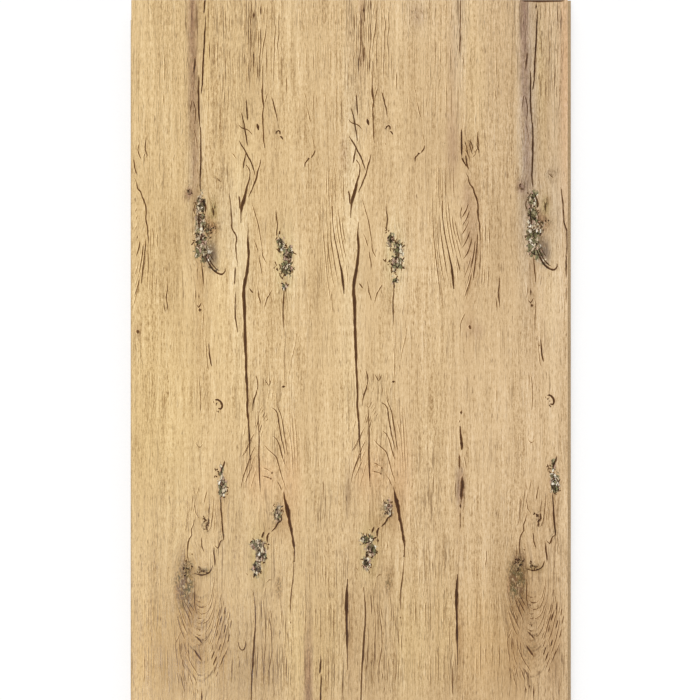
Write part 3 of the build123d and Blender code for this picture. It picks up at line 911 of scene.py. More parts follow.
def point_along(points, share):
    """The point at a share of the way along a line, from 0 at its start to 1 at its end."""
    place = share * (len(points) - 1)
    low = min(int(place), len(points) - 2)
    return [a + (place - low) * (b - a) for a, b in zip(points[low], points[low + 1])]


def family_strokes(width, depth, lines, pieces, first, last):
    """Strokes at uneven distances between two lines, each line torn into pieces."""
    strokes = []
    steps = WHOLE_LINE_STEPS if pieces == 1 else PIECE_STEPS
    for line in range(lines):
        across = (line + draws.uniform(*LINE_PLACES)) / lines
        for piece in range(pieces):
            start = (piece + draws.uniform(*PIECE_STARTS)) / pieces
            stop = (piece + draws.uniform(*PIECE_STOPS)) / pieces
            points = []
            for step in range(steps + 1):
                share = start + (stop - start) * step / steps
                one, other = point_along(first, share), point_along(last, share)
                points.append(tuple(a + across * (b - a) for a, b in zip(one, other)))
            own_width = width * draws.uniform(*FAMILY_WIDTHS)
            own_depth = depth * draws.uniform(*FAMILY_DEPTHS)
            strokes.append((own_width, own_depth, points))
    return strokes


families = {"seam": []}
for board, listed in (("knotty", KNOTTY_FAMILIES), ("split", SPLIT_FAMILIES)):
    families[board] = [stroke for family in listed for stroke in family_strokes(*family)]
print("the families hold", len(families["knotty"]) + len(families["split"]), "fine lines")

# %% [markdown]
# Round each crumb of a knot the fibres are torn, and they show as a few short spikes that
# stand off it at all angles. The crumbs themselves are small dents, copied from one ball.

# %% Crumbs and the torn fibres round them
SPIKES = 3
SPIKE_REACHES = (1.2, 2.3)
SPIKE_BEND = 0.9
SPIKE_STEP_ACROSS, SPIKE_STEP_ALONG = 0.5, 0.7
SCATTER_ACROSS_PX, SCATTER_ALONG_PX = 1, 1.5
SPIKE_WIDTHS = (0.8, 1.3)
SPIKE_DEPTHS = (0.5, 0.9)
CRUMB_DEPTH = 0.09 * MM
CRUMB_WIDTHS = (0.6, 1.1)
CRUMB_LENGTHS = (0.8, 1.4)
CRUMB_TURN = 0.5
CRUMB_DENTS = (0.65, 1.2)


def step_from(spot, turn, reach):
    """The place one step from a spot, in the direction of the turn."""
    across = SPIKE_STEP_ACROSS * reach * math.cos(turn)
    along = SPIKE_STEP_ALONG * reach * math.sin(turn)
    return (spot[0] + across, spot[1] + along)


def draw_spikes(half_width, centre, shift):
    """Short bent strokes from a crumb outwards."""
    spikes = []
    for _ in range(SPIKES):
        turn = draws.uniform(0, 2 * math.pi)
        reach = half_width * draws.uniform(*SPIKE_REACHES)
        bend = turn + draws.uniform(-SPIKE_BEND, SPIKE_BEND)
        start_x = centre[0] + draws.uniform(-SCATTER_ACROSS_PX, SCATTER_ACROSS_PX)
        start_y = centre[1] + draws.uniform(-SCATTER_ALONG_PX, SCATTER_ALONG_PX)
        start = (start_x, start_y)
        middle = step_from(start, turn, reach)
        tip = step_from(middle, bend, reach)
        width, depth = draws.uniform(*SPIKE_WIDTHS), draws.uniform(*SPIKE_DEPTHS)
        spikes.append(draw_stroke(width, depth, [start, middle, tip], shift))
    return spikes


bpy.ops.object.select_all(action="DESELECT")
bpy.ops.mesh.primitive_ico_sphere_add(subdivisions=1, radius=1, location=(0, 0, 0))
first_ball = bpy.context.object


def draw_crumb(half_width, depth, centre, shift):
    """A crumb as a dented ball, flattened, with its middle in the face."""
    crumb = bpy.data.objects.new("crumb", first_ball.data.copy())
    bpy.context.collection.objects.link(crumb)
    crumb.location = (across_face(centre[0] + shift[0]), along_face(centre[1] + shift[1]), FACE_TOP)
    width = half_width * PIXEL * draws.uniform(*CRUMB_WIDTHS)
    length = half_width * PIXEL * draws.uniform(*CRUMB_LENGTHS)
    crumb.scale = (width, length, depth * CRUMB_DEPTH)
    crumb.rotation_euler.z = draws.uniform(-CRUMB_TURN, CRUMB_TURN)
    for point in crumb.data.vertices:
        point.co *= draws.uniform(*CRUMB_DENTS)
    return crumb


# %% [markdown]
# The print repeats both board pictures across the plank, each a few pixels higher than the
# last, and repeats them again along it. The camera sees the first stretch whole. Beyond it
# the boards change places and only the bolder strokes are cut.

# %% Placing both boards over the whole face
BOARD_TILES = [
    ("knotty", (0, 0)), ("split", (0, 0)), ("split", SPLIT_REPEAT), ("knotty", KNOTTY_REPEAT),
    ("seam", (0, 0)),
]
STRETCH_PX = 700
FAR_TILES = [
    ("split", (-110, STRETCH_PX + 60)), ("knotty", (116, STRETCH_PX - 40)),
    ("split", (96, STRETCH_PX + 25)), ("split", (206, STRETCH_PX + 20)),
    ("knotty", (0, 2 * STRETCH_PX + 30)), ("split", (4, 2 * STRETCH_PX - 20)),
    ("knotty", (218, 2 * STRETCH_PX - 60)), ("split", (220, 2 * STRETCH_PX + 40)),
    ("split", (-108, 3 * STRETCH_PX + 30)), ("knotty", (112, 3 * STRETCH_PX + 10)),
    ("split", (112, 3 * STRETCH_PX - 5)), ("knotty", (330, 3 * STRETCH_PX + 20)),
]
FAR_DEPTH = 0.6
FAR_CRUMB_PX = 1.5
END_RIM_PX = 3
LAST_ROW_PX = FACE_LENGTH / PIXEL - END_RIM_PX
SIDE_RIM_PX = 2.2
SEAM_RIM_PX = 1
RUN_OFF_PX = 8
CRUMB_SHARE = 0.6
CRUMB_DEPTHS = (0.3, 0.8)


def inside_face(points, shift, margin):
    """The part of a stroke that keeps a margin from the face's sides. It may run off the end."""
    kept = []
    for point in points:
        x_px, y_px = point[0] + shift[0], point[1] + shift[1]
        beside = FACE_LEFT_PX + margin < x_px < FACE_RIGHT_PX - margin
        if beside and -RUN_OFF_PX < y_px < LAST_ROW_PX:
            kept.append(point)
    return kept


boards = {
    "knotty": (KNOTTY_BOARD, KNOTTY_CRUMBS, SIDE_RIM_PX),
    "split": (SPLIT_BOARD, SPLIT_CRUMBS, SIDE_RIM_PX),
    "seam": (SEAM_MARKS, [], SEAM_RIM_PX),
}
cutters = []
for board, shift in BOARD_TILES + FAR_TILES:
    far = (board, shift) in FAR_TILES
    strokes, crumbs, margin = boards[board]
    for width, depth, points in strokes + ([] if far else families[board]):
        kept = inside_face(points, shift, margin)
        if len(kept) < 2 or (far and depth < FAR_DEPTH):
            continue
        cutters.append(draw_stroke(width, depth, kept, shift))
    for x_px, y_px, half_width in crumbs:
        if far and half_width < FAR_CRUMB_PX:
            continue
        if len(inside_face([(x_px, y_px)], shift, margin)) == 1:
            depth = draws.uniform(*CRUMB_DEPTHS)
            cutters.append(draw_crumb(CRUMB_SHARE * half_width, depth, (x_px, y_px), shift))
            if not far:
                cutters.extend(draw_spikes(half_width, (x_px, y_px), shift))

bpy.ops.object.select_all(action="DESELECT")
for cutter in cutters:
    cutter.select_set(True)
bpy.context.view_layer.objects.active = cutters[0]
bpy.ops.object.convert(target="MESH")
bpy.ops.object.make_single_user(object=True, obdata=True)
bpy.ops.object.transform_apply(location=True, rotation=True, scale=True)
bpy.data.objects.remove(first_ball)
print(len(cutters), "cutters over the whole face")

# %% [markdown]
# A Boolean takes a closed tool that doesn't run into itself. Strokes that cross are
# therefore sorted into layers: each goes into the first layer in which its part of the
# face is still free, and every layer is joined, its doubles merged, and cut in one go.

# %% Sorting the cutters into layers and cutting each layer
CELL = 0.4 * MM
DOUBLES = 1e-7


def cells_of(cutter):
    """The small squares of the face that a cutter may touch."""
    touched = set()
    for edge in cutter.data.edges:
        one, other = (cutter.data.vertices[i].co for i in edge.vertices)
        steps = max(1, math.ceil((one - other).length / CELL))
        for step in range(steps + 1):
            spot = one.lerp(other, step / steps)
            column, row = round(spot.x / CELL), round(spot.y / CELL)
            touched.update((column + i, row + j) for i in (-1, 0, 1) for j in (-1, 0, 1))
    return touched


layers = []
for cutter in cutters:
    touched = cells_of(cutter)
    for layer in layers:
        if layer["taken"].isdisjoint(touched):
            break
    else:
        layer = {"taken": set(), "cutters": []}
        layers.append(layer)
    layer["taken"] |= touched
    layer["cutters"].append(cutter)
print("layers:", [len(layer["cutters"]) for layer in layers])


def join_layer(layer):
    """One tool from a layer's cutters, with the doubles at its caps merged."""
    bpy.ops.object.select_all(action="DESELECT")
    for cutter in layer["cutters"]:
        cutter.select_set(True)
    tool = layer["cutters"][0]
    bpy.context.view_layer.objects.active = tool
    if len(layer["cutters"]) > 1:
        bpy.ops.object.join()
    bpy.ops.object.mode_set(mode="EDIT")
    bpy.ops.mesh.select_all(action="SELECT")
    bpy.ops.mesh.remove_doubles(threshold=DOUBLES)
    bpy.ops.mesh.normals_make_consistent(inside=False)
    bpy.ops.object.mode_set(mode="OBJECT")
    return tool


def cut_from(piece, tool):
    """Takes the tool's shape out of the piece and throws the tool away."""
    bpy.ops.object.select_all(action="DESELECT")
    bpy.context.view_layer.objects.active = piece
    piece.select_set(True)
    cut = piece.modifiers.new("cut", "BOOLEAN")
    cut.operation = "DIFFERENCE"
    cut.solver = "MANIFOLD"
    cut.object = tool
    before = len(piece.data.polygons)
    bpy.ops.object.modifier_apply(modifier="cut")
    bpy.data.objects.remove(tool)
    return len(piece.data.polygons) - before


for layer in layers:
    added = cut_from(sheet, join_layer(layer))
    print("a layer of", len(layer["cutters"]), "cutters added", added, "faces")
sheet_triangles = sum(len(face.vertices) - 2 for face in sheet.data.polygons)
print("the sheet now has", sheet_triangles, "triangles")
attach(sheet, "root")
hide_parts("decor_layer")

# %% [markdown]
# ## Painting the net
#
# Grain doesn't run straight past a knot: it opens round it, and where a board is cut through
# the rings it draws arches. One number on each point of the net says where its grain line
# would run on a straight board, and the finish draws its grain by that number. Everything
# else that the net carries is painted as soft ellipses too. All of them are listed in the
# photograph's pixels, for each board and for the seam.

# %% Knots, arches, and where fibres crowd or stand up
# a knot: (x, y, half-width, half-length, how far the grain opens)
KNOTTY_KNOTS = [(201, 228, 15, 42, 0.8), (222, 484, 9, 26, 0.6), (186, 582, 16, 34, 0.8)]
SPLIT_KNOTS = [(284, 256, 10, 30, 0.6), (259, 556, 11, 26, 0.6), (248, 200, 8, 36, 0.5)]
# an arch: (x, y, half-width, half-length, roundness of its tip, how fast its sides close)
KNOTTY_ARCHES = [(131, 245, 20, 78, 5, 0.16), (201, 640, 24, 46, 10, 0.5)]
SPLIT_ARCHES = [(353, 249, 20, 78, 5, 0.16)]
# a crowd of dark fibres: (x, y, half-width, half-length, how many)
KNOTTY_CROWDS = [
    (192, 60, 7, 120, 0.7), (222, 30, 12, 70, 0.5), (200, 640, 26, 70, 0.7), (222, 560, 8, 60, 0.5),
]
SPLIT_CROWDS = [
    (250, 35, 11, 60, 1.0), (262, 430, 22, 60, 0.3), (268, 650, 22, 70, 0.35), (332, 230, 14, 70, 0.1),
    (350, 30, 6, 60, 0.8), (247, 470, 8, 30, 0.6), (322, 520, 10, 60, 0.4), (340, 620, 10, 70, 0.6),
]
# fuzz, where torn fibres stand up and catch dirt: (x, y, half-width, half-length, strength)
KNOTTY_FUZZ = [
    (199, 226, 11, 40, 0.45), (188, 190.5, 5, 7, 1.0), (209, 248, 7, 13, 0.8), (211, 226.5, 10, 9, 1.1),
    (219.5, 178.5, 6, 4.5, 0.9), (187, 567, 7, 10, 1.2), (184.6, 585, 10, 24, 1.5),
    (203, 571, 9, 4.5, 1.0), (205, 524, 5.5, 10, 0.9), (192.4, 70, 4.6, 150, 0.45),
    (221.6, 538, 4, 7, 0.8), (213.4, 209, 3, 10, 0.9), (136, 175, 6, 30, 0.3), (199, 652, 10, 18, 0.5),
    (222, 484, 6, 22, 0.3), (190, 610, 12, 24, 0.4), (217, 270, 8, 5, 0.5),
]
SPLIT_FUZZ = [
    (276, 517, 7.5, 13, 0.9), (285, 258, 9, 28, 0.2), (259, 555, 10, 24, 0.25),
    (264, 462, 14, 30, 0.25), (270, 475, 9, 8, 0.45), (278.6, 588, 4, 12, 1.0), (278, 133, 6, 7, 0.5),
    (262, 384, 20, 12, 0.3), (260, 110, 22, 20, 0.3),
]
SEAM_FUZZ = [(467, 148, 9, 18, 0.5), (462, 488, 4, 16, 0.6), (471, 228, 7, 40, 0.25)]
print(len(KNOTTY_FUZZ) + len(SPLIT_FUZZ) + len(SEAM_FUZZ), "patches of fuzz")

# %% [markdown]
# A stain is a colour that multiplies the print, in a soft ellipse. The dark ones lie round
# the knots and splits, and the pale ones where the photograph's wood is bleached.

# %% Stains of the two boards
# the colours' red, green and blue factors
UMBER, PLUM, OLIVE, SOOT = (0.7, 0.61, 0.5), (0.66, 0.57, 0.6), (0.8, 0.84, 0.66), (0.4, 0.34, 0.33)
MOULD, LOAM, RUSSET = (0.62, 0.56, 0.4), (0.5, 0.4, 0.34), (0.82, 0.6, 0.56)
AMBER, FROST = (0.96, 0.9, 0.78), (0.97, 1.01, 1.1)
CREAM, STRAW, SALMON, DUSK = (1.07, 1.09, 1.1), (1.05, 1.06, 1.0), (1.0, 0.89, 0.85), (0.87, 0.85, 0.82)
MILK, HEATHER, SLATE = (1.08, 1.15, 1.26), (0.6, 0.5, 0.62), (0.42, 0.41, 0.46)
# a stain: (x, y, half-width, half-length, colour, strength)
KNOTTY_STAINS = [
    (192.4, 20, 4.4, 60, PLUM, 1.15), (193, 92, 4.4, 46, PLUM, 0.8), (195.4, 160, 4.6, 46, PLUM, 0.75),
    (200, 232, 9, 44, UMBER, 0.35), (210.8, 254, 6, 11, SLATE, 1.4), (213.8, 260, 6, 9, SLATE, 0.6),
    (212, 230, 10, 12, UMBER, 0.6), (195, 204, 7, 18, DUSK, 1.6), (207, 50, 3, 50, STRAW, 1.0),
    (213.6, 209, 2.6, 11, MOULD, 0.6), (200, 275, 4, 26, UMBER, 0.5), (200, 330, 5, 60, UMBER, 0.3),
    (222, 487, 7, 20, UMBER, 0.6), (222, 520, 4, 26, UMBER, 0.5), (205, 515, 14, 30, UMBER, 0.35),
    (186.6, 566, 6.5, 9, LOAM, 0.7), (185.6, 584, 9.5, 22, MOULD, 0.9), (184, 592, 7, 14, LOAM, 0.2),
    (188, 584, 12, 30, UMBER, 0.4), (178, 592, 3, 8, RUSSET, 0.6), (192, 606, 7, 18, UMBER, 0.9),
    (200, 625, 24, 52, UMBER, 0.6), (200, 655, 6, 14, UMBER, 0.7), (184, 655, 9, 50, UMBER, 0.5),
    (202, 573, 11, 4, MOULD, 0.9), (188.6, 192.2, 4.2, 5, PLUM, 1.3),
    (189.4, 192.4, 2.6, 3.4, HEATHER, 0.8), (213, 214, 5, 12, OLIVE, 0.8),
    (210, 225, 7, 8, RUSSET, 0.6), (222, 650, 8, 50, UMBER, 0.7), (137.5, 331, 5, 8, PLUM, 0.4),
    (145, 200, 5, 50, UMBER, 0.25), (160, 655, 44, 66, AMBER, 0.9), (222, 340, 8, 120, CREAM, 0.7),
    (205, 40, 14, 90, UMBER, 0.2), (168, 600, 14, 120, DUSK, 0.8), (168, 240, 12, 60, DUSK, 0.8),
    (220, 285, 9, 70, CREAM, 0.8), (196, 170, 10, 90, FROST, 0.7), (168, 80, 12, 50, DUSK, 0.4),
    (222, 218, 16, 40, FROST, 0.8), (221, 180.5, 5, 3.5, UMBER, 0.6),
]
SPLIT_STAINS = [
    (238, 240, 9, 160, CREAM, 0.8), (242, 275, 10, 100, MILK, 0.7), (250, 50, 6, 60, UMBER, 0.25),
    (248, 170, 12, 60, CREAM, 0.9), (284, 260, 9, 30, OLIVE, 0.5), (272, 255, 8, 28, CREAM, 0.8),
    (268, 400, 14, 56, CREAM, 0.4), (287, 262, 12, 34, MILK, 0.9), (288, 130, 10, 120, CREAM, 0.5),
    (302, 262, 8, 30, CREAM, 0.7), (240, 390, 10, 44, CREAM, 0.6), (322, 150, 24, 60, DUSK, 0.35),
    (284, 512, 8, 24, UMBER, 0.6), (272, 528, 16, 12, UMBER, 0.5), (259, 555, 9, 24, OLIVE, 0.8),
    (256, 655, 12, 50, UMBER, 0.3), (270, 655, 9, 44, UMBER, 0.25), (279, 588, 4, 12, UMBER, 0.9),
    (278, 133, 6, 7, UMBER, 0.25), (262, 478, 18, 24, SALMON, 0.7), (292, 480, 10, 40, SALMON, 0.6),
    (302, 650, 18, 60, STRAW, 1.2), (348, 492, 3, 18, SOOT, 0.7), (350, 640, 4, 40, UMBER, 0.7),
    (350, 20, 4, 60, PLUM, 0.15), (333, 240, 13, 46, CREAM, 1.1), (331, 370, 12, 100, CREAM, 0.6),
    (332, 640, 10, 60, STRAW, 0.8),
]
print(len(KNOTTY_STAINS) + len(SPLIT_STAINS), "stains")

# %% [markdown]
# The knots' filling is painted in the same way, with a strength and no colour. The broad
# clouds over the seen stretch don't repeat with the boards, and nor do the small stains
# along the seam.

# %% Filling and clouds
# filling: (x, y, half-width, half-length, strength)
KNOTTY_FILLING = [
    (201, 205, 5.5, 12, 0.9), (200, 222, 6, 13, 0.9), (201, 244, 7, 17, 1.0), (206, 257, 6, 9, 0.9),
    (222.5, 487, 5, 12, 1.0), (221.5, 470, 3, 8, 0.7), (208, 232, 5, 8, 0.6), (214, 268, 6, 6, 0.55),
]
SPLIT_FILLING = [
    (281, 244, 4.5, 9, 0.82), (288, 254, 6, 10, 0.86), (287, 268, 7, 9, 0.86), (285, 286, 4, 4, 0.8),
    (257, 545, 8, 6, 0.9), (261, 555, 6, 8, 1.0), (256.5, 568, 5, 8, 1.0), (278, 513, 5, 9, 0.85),
]
# a cloud, like a stain: (x, y, half-width, half-length, colour, strength)
CLOUDS = [
    # the first cloud darkens the whole width towards the bottom of the seen stretch
    (349, 690, 300, 140, DUSK, 1.0), (160, 430, 40, 110, STRAW, 0.8), (535, 100, 30, 150, DUSK, 0.8),
    (565, 70, 5, 120, SALMON, 1.0), (542, 100, 5, 60, STRAW, 0.8), (452, 60, 4, 60, PLUM, 0.25),
    (452, 140, 6, 36, PLUM, 0.5), (466, 150, 7, 16, UMBER, 0.7), (467, 196, 5, 16, PLUM, 0.5),
    (472, 232, 8, 44, PLUM, 0.5), (469, 320, 6, 60, UMBER, 0.3), (498, 150, 20, 160, DUSK, 0.3),
    (532, 110, 12, 190, FROST, 1.0), (557, 150, 10, 220, FROST, 0.7), (467, 20, 7, 50, CREAM, 0.8),
    (461, 488, 4, 18, PLUM, 1.0), (463, 488, 2.4, 12, SOOT, 0.3), (457.4, 491, 2.2, 6, MILK, 0.9),
    (459, 540, 3, 40, UMBER, 0.4), (475, 90, 10, 80, STRAW, 0.6), (478, 331, 5, 7, PLUM, 0.5),
    (240, 668, 12, 40, DUSK, 0.9), (258, 640, 14, 80, DUSK, 0.7), (238, 525, 10, 30, DUSK, 0.8),
    (312, 668, 11, 34, CREAM, 1.0), (384, 390, 12, 80, CREAM, 0.6), (526, 120, 9, 150, FROST, 1.0),
    (452, 620, 9, 30, CREAM, 0.8), (166, 480, 10, 24, DUSK, 0.5), (448, 172, 10, 26, DUSK, 0.8),
    (352, 390, 9, 60, CREAM, 0.5), (430, 430, 12, 40, CREAM, 0.8), (384, 520, 10, 24, CREAM, 1.0),
    (545, 60, 14, 40, CREAM, 0.7), (480, 615, 24, 30, CREAM, 0.6), (352, 130, 8, 80, FROST, 0.6),
    (168, 660, 12, 40, DUSK, 0.5), (240, 665, 12, 40, DUSK, 0.5), (361.6, 10, 2.6, 18, PLUM, 0.45),
    (361.8, 58, 2.6, 14, PLUM, 0.45), (344, 153, 4, 14, PLUM, 0.45), (417, 14, 7, 10, PLUM, 0.4),
    (455, 150, 5, 17, PLUM, 0.35), (549.5, 201.5, 3, 4, UMBER, 0.9), (458, 30, 8, 60, FROST, 0.8),
    (417, 14, 12, 20, FROST, 0.8), (551, 173, 7, 6, FROST, 1.0), (262, 573, 12, 20, DUSK, 0.7),
    (184, 472, 14, 22, DUSK, 0.5), (240, 473, 15, 24, DUSK, 0.5), (286, 275, 12, 24, CREAM, 0.8),
    (192, 22, 10, 24, DUSK, 0.5), (176, 676, 22, 26, DUSK, 0.45), (252, 676, 20, 24, DUSK, 0.4),
    (359, 276, 10, 22, DUSK, 0.5), (504, 676, 10, 22, DUSK, 0.5), (528, 20, 16, 30, FROST, 0.5),
    (528, 225, 12, 24, FROST, 0.5), (528, 625, 12, 24, FROST, 0.6), (240, 245, 12, 44, FROST, 0.5),
]
print(len(CLOUDS), "clouds")

# %% [markdown]
# Every tile of the print lays its patches on the points under it. Stains multiply each
# other, and of two fillings or crowds the stronger one counts. The rim is the sheet's eased
# edge, whose depth below the face isn't a split's.

# %% Painting the numbers
def soft_ellipse(x_px, y_px, patch):
    """1 in the middle of a patch, falling softly to 0 outside it, at every point of the net."""
    return np.exp(-(np.abs((x_px - patch[0]) / patch[2]) ** 3) - ((y_px - patch[1]) / patch[3]) ** 2)


def raised(field, patches_of_kind, x_px, y_px):
    """The field, raised to each patch's strength where that is higher."""
    for patch in patches_of_kind:
        field = np.maximum(field, patch[4] * soft_ellipse(x_px, y_px, patch))
    return field


def paint(name, values, kind="FLOAT"):
    """Stores one number or colour on each point of the sheet."""
    layer = sheet.data.attributes.new(name, kind, "POINT")
    field = "color" if kind == "FLOAT_COLOR" else "value"
    layer.data.foreach_set(field, np.ascontiguousarray(values, dtype=np.float32).ravel())


spots = np.empty(len(sheet.data.vertices) * 3, dtype=np.float32)
sheet.data.vertices.foreach_get("co", spots)
spots = spots.reshape(-1, 3).astype(float)
column = spots[:, 0] / PIXEL + FACE_MIDDLE_PX
row = (FACE_HIGH[1] - spots[:, 1]) / PIXEL - END_ABOVE_FRAME_PX

grain_line = column.copy()
arch_line, arched = np.zeros(len(spots)), np.zeros(len(spots))
tint = np.ones((len(spots), 4))
filling, crowd, fuzz = np.zeros(len(spots)), np.zeros(len(spots)), np.zeros(len(spots))
patches = {
    "knotty": (KNOTTY_KNOTS, KNOTTY_ARCHES, KNOTTY_STAINS, KNOTTY_FILLING, KNOTTY_CROWDS, KNOTTY_FUZZ),
    "split": (SPLIT_KNOTS, SPLIT_ARCHES, SPLIT_STAINS, SPLIT_FILLING, SPLIT_CROWDS, SPLIT_FUZZ),
    "seam": ([], [], CLOUDS, [], [], SEAM_FUZZ),
}
for board, (shift_x, shift_y) in BOARD_TILES + FAR_TILES:
    knots, arches, stains, fillings, crowds, fuzzes = patches[board]
    x_px, y_px = column - shift_x, row - shift_y
    for x, y, half_width, half_length, roundness, closing in arches:
        off_x, off_y = np.abs((x_px - x) / half_width), np.abs((y_px - y) / half_length)
        share = np.exp(-off_x ** 4 - off_y ** 4)
        line = np.hypot(x_px - x, roundness) + closing * (y_px - y)
        arch_line = np.where(share > arched, line, arch_line)
        arched = np.maximum(arched, share)
    for knot in knots:
        pull = knot[4] * soft_ellipse(x_px, y_px, knot)
        grain_line -= (x_px - knot[0]) * pull
    for stain in stains:
        strength = stain[5] * soft_ellipse(x_px, y_px, stain)
        for channel in range(3):
            tint[:, channel] *= 1 + strength * (stain[4][channel] - 1)
    filling = raised(filling, fillings, x_px, y_px)
    crowd = raised(crowd, crowds, x_px, y_px)
    fuzz = raised(fuzz, fuzzes, x_px, y_px)

at_side = np.abs(spots[:, 0]) > FACE_WIDTH / 2 - EASE - HAIR
at_end = np.abs(spots[:, 1]) > FACE_LENGTH / 2 - EASE - HAIR
paint("grain_line", grain_line * PIXEL)
paint("arch_line", arch_line * PIXEL)
paint("arched", arched)
paint("crowd", crowd)
paint("fuzz", fuzz)
paint("tint", tint, "FLOAT_COLOR")
paint("filling", filling)
paint("rim", (at_side | at_end) & (spots[:, 2] < FACE_TOP - HAIR))
print("painted", len(spots), "points")

# %% [markdown]
# ## Fibres
#
# All three sheets are made of wood fibre, and each shows it at its own size: long and fine
# in the print, short and matted in the core, a faint cloud in the backing paper. One node
# group makes a noise that is stretched along one direction, and each material sets how wide
# and how long its fibres are.

# %% The fibre group
fibre_group = bpy.data.node_groups.new("Fibres", "ShaderNodeTree")
sockets = fibre_group.interface
sockets.new_socket("Place", in_out="INPUT", socket_type="NodeSocketVector")
number_inputs = {"Width mm": 0.5, "Length mm": 10.0, "Detail": 2.0, "Contrast": 1.0}
for name, default in number_inputs.items():
    socket = sockets.new_socket(name, in_out="INPUT", socket_type="NodeSocketFloat")
    socket.default_value = default
sockets.new_socket("Fibre", in_out="OUTPUT", socket_type="NodeSocketFloat")

group_in = fibre_group.nodes.new("NodeGroupInput").outputs
parts = add_node(fibre_group, "SeparateXYZ", {0: group_in["Place"]}).outputs
per_width = add_math(fibre_group, "DIVIDE", 1 / MM, group_in["Width mm"])
per_length = add_math(fibre_group, "DIVIDE", 1 / MM, group_in["Length mm"])
stretched = add_node(fibre_group, "CombineXYZ", {
    "X": add_math(fibre_group, "MULTIPLY", parts["X"], per_width),
    "Y": add_math(fibre_group, "MULTIPLY", parts["Y"], per_length),
    "Z": add_math(fibre_group, "MULTIPLY", parts["Z"], per_width),
}).outputs[0]
noise = add_node(fibre_group, "TexNoise", {
    "Vector": stretched, "Scale": 1.0, "Detail": group_in["Detail"], "Roughness": 0.6,
}).outputs[0]
centred = add_math(fibre_group, "SUBTRACT", noise, 0.5)
fibre = add_math(fibre_group, "MULTIPLY", centred, group_in["Contrast"])
fibre_group.links.new(fibre, fibre_group.nodes.new("NodeGroupOutput").inputs["Fibre"])


def add_fibres(tree, place, width_mm, length_mm, detail, contrast):
    """The fibre group in a material, centred on 0."""
    node = add_node(tree, "Group", {
        "Place": place, "Width mm": width_mm, "Length mm": length_mm,
        "Detail": detail, "Contrast": contrast,
    }, node_tree=fibre_group)
    return node.outputs["Fibre"]


print("the fibre group has", len(fibre_group.nodes), "nodes")

# %% [markdown]
# ## The decor finish
#
# The print is a light, knotty oak. Its finish is laid on as a printer lays inks, one over
# the other. It starts from the lines that the grain follows: the numbers painted on the
# net, which wander a little so that no two fibres run quite side by side.

# %% The lines that the grain follows
def add_painted(tree, name, output="Fac"):
    """A number or a colour that was painted on the net."""
    return add_node(tree, "Attribute", attribute_name=name).outputs[output]


def add_range(tree, value, low, high, new_low=0.0, new_high=1.0):
    """A value brought from one range to another, and held inside it."""
    inputs = {0: value, 1: low, 2: high, 3: new_low, 4: new_high}
    return add_node(tree, "MapRange", inputs).outputs[0]


def add_sum(tree, start, terms):
    """Several values added up."""
    total = start
    for term in terms:
        total = add_math(tree, "ADD", total, term)
    return total


decor, tree = new_finish("oak_print")
place = add_node(tree, "TexCoord").outputs["Object"]
xyz = add_node(tree, "SeparateXYZ", {0: place}).outputs
grain = add_sum(tree, add_painted(tree, "grain_line"), [
    add_fibres(tree, place, 8.0, 50.0, 2.0, 2.4 * MM),
    add_fibres(tree, place, 2.2, 7.0, 2.0, 1.3 * MM),
])
along_grain = add_node(tree, "CombineXYZ", {"X": grain, "Y": xyz["Y"], "Z": 0.0}).outputs[0]
arch = add_sum(tree, add_painted(tree, "arch_line"), [
    add_fibres(tree, place, 4.0, 14.0, 2.0, 1.2 * MM),
])
along_arch = add_node(tree, "CombineXYZ", {"X": arch, "Y": xyz["Y"], "Z": 0.0}).outputs[0]
arched = add_range(tree, add_painted(tree, "arched"), 0.15, 0.7, 0.0, 0.55)
crowd = add_painted(tree, "crowd")
print("the grain follows", len(tree.nodes), "nodes")

# %% [markdown]
# The wood's tone is a sum of noises along those lines, from broad bands down to single
# fibres. In an arch the straight figure gives way to the bowed one. A ramp turns the tone
# into colours from brown to straw.

# %% Bands, streaks and threads
MIDDLE_TONE = 0.59
bands = add_fibres(tree, along_grain, 9.0, 260.0, 1.0, 0.4)
streaks = add_fibres(tree, along_grain, 2.2, 70.0, 2.0, 0.9)
threads = add_fibres(tree, along_grain, 0.42, 24.0, 3.0, 1.65)
hairs = add_fibres(tree, along_grain, 0.4, 2.4, 2.0, 1.7)
fleck = add_fibres(tree, place, 0.6, 0.5, 2.0, 0.6)
arch_streaks = add_fibres(tree, along_arch, 1.6, 30.0, 2.0, 0.9)
arch_threads = add_fibres(tree, along_arch, 0.5, 9.0, 3.0, 1.5)
straight = add_math(tree, "ADD", threads, streaks)
bowed = add_math(tree, "ADD", arch_threads, arch_streaks)
figure = add_node(tree, "Mix", {0: arched, 2: straight, 3: bowed}).outputs[0]
restless = add_fibres(tree, along_grain, 13.0, 90.0, 2.0, 1.0)
restless = add_sum(tree, restless, [add_math(tree, "MULTIPLY", crowd, 0.2)])
restless = add_range(tree, restless, -0.22, 0.22, 0.55, 1.22)
fine = add_math(tree, "MULTIPLY", add_sum(tree, figure, [hairs, fleck]), restless)
tone = add_sum(tree, MIDDLE_TONE, [bands, fine])
printed = add_ramp(tree, tone, [
    (0.0, shade(154, 117, 74)), (0.3, shade(197, 163, 116)), (0.52, shade(222, 190, 143)),
    (0.75, shade(236, 204, 157)), (1.0, shade(249, 221, 179)),
])
print("with its tone the decor has", len(tree.nodes), "nodes")

# %% [markdown]
# Over the tone lie the dark lines, each with a pale flank, and the pores, which are short
# dark dashes. All are the peaks of a noise along the grain, and where the net says that dark
# fibres crowd together, more of the noise shows.

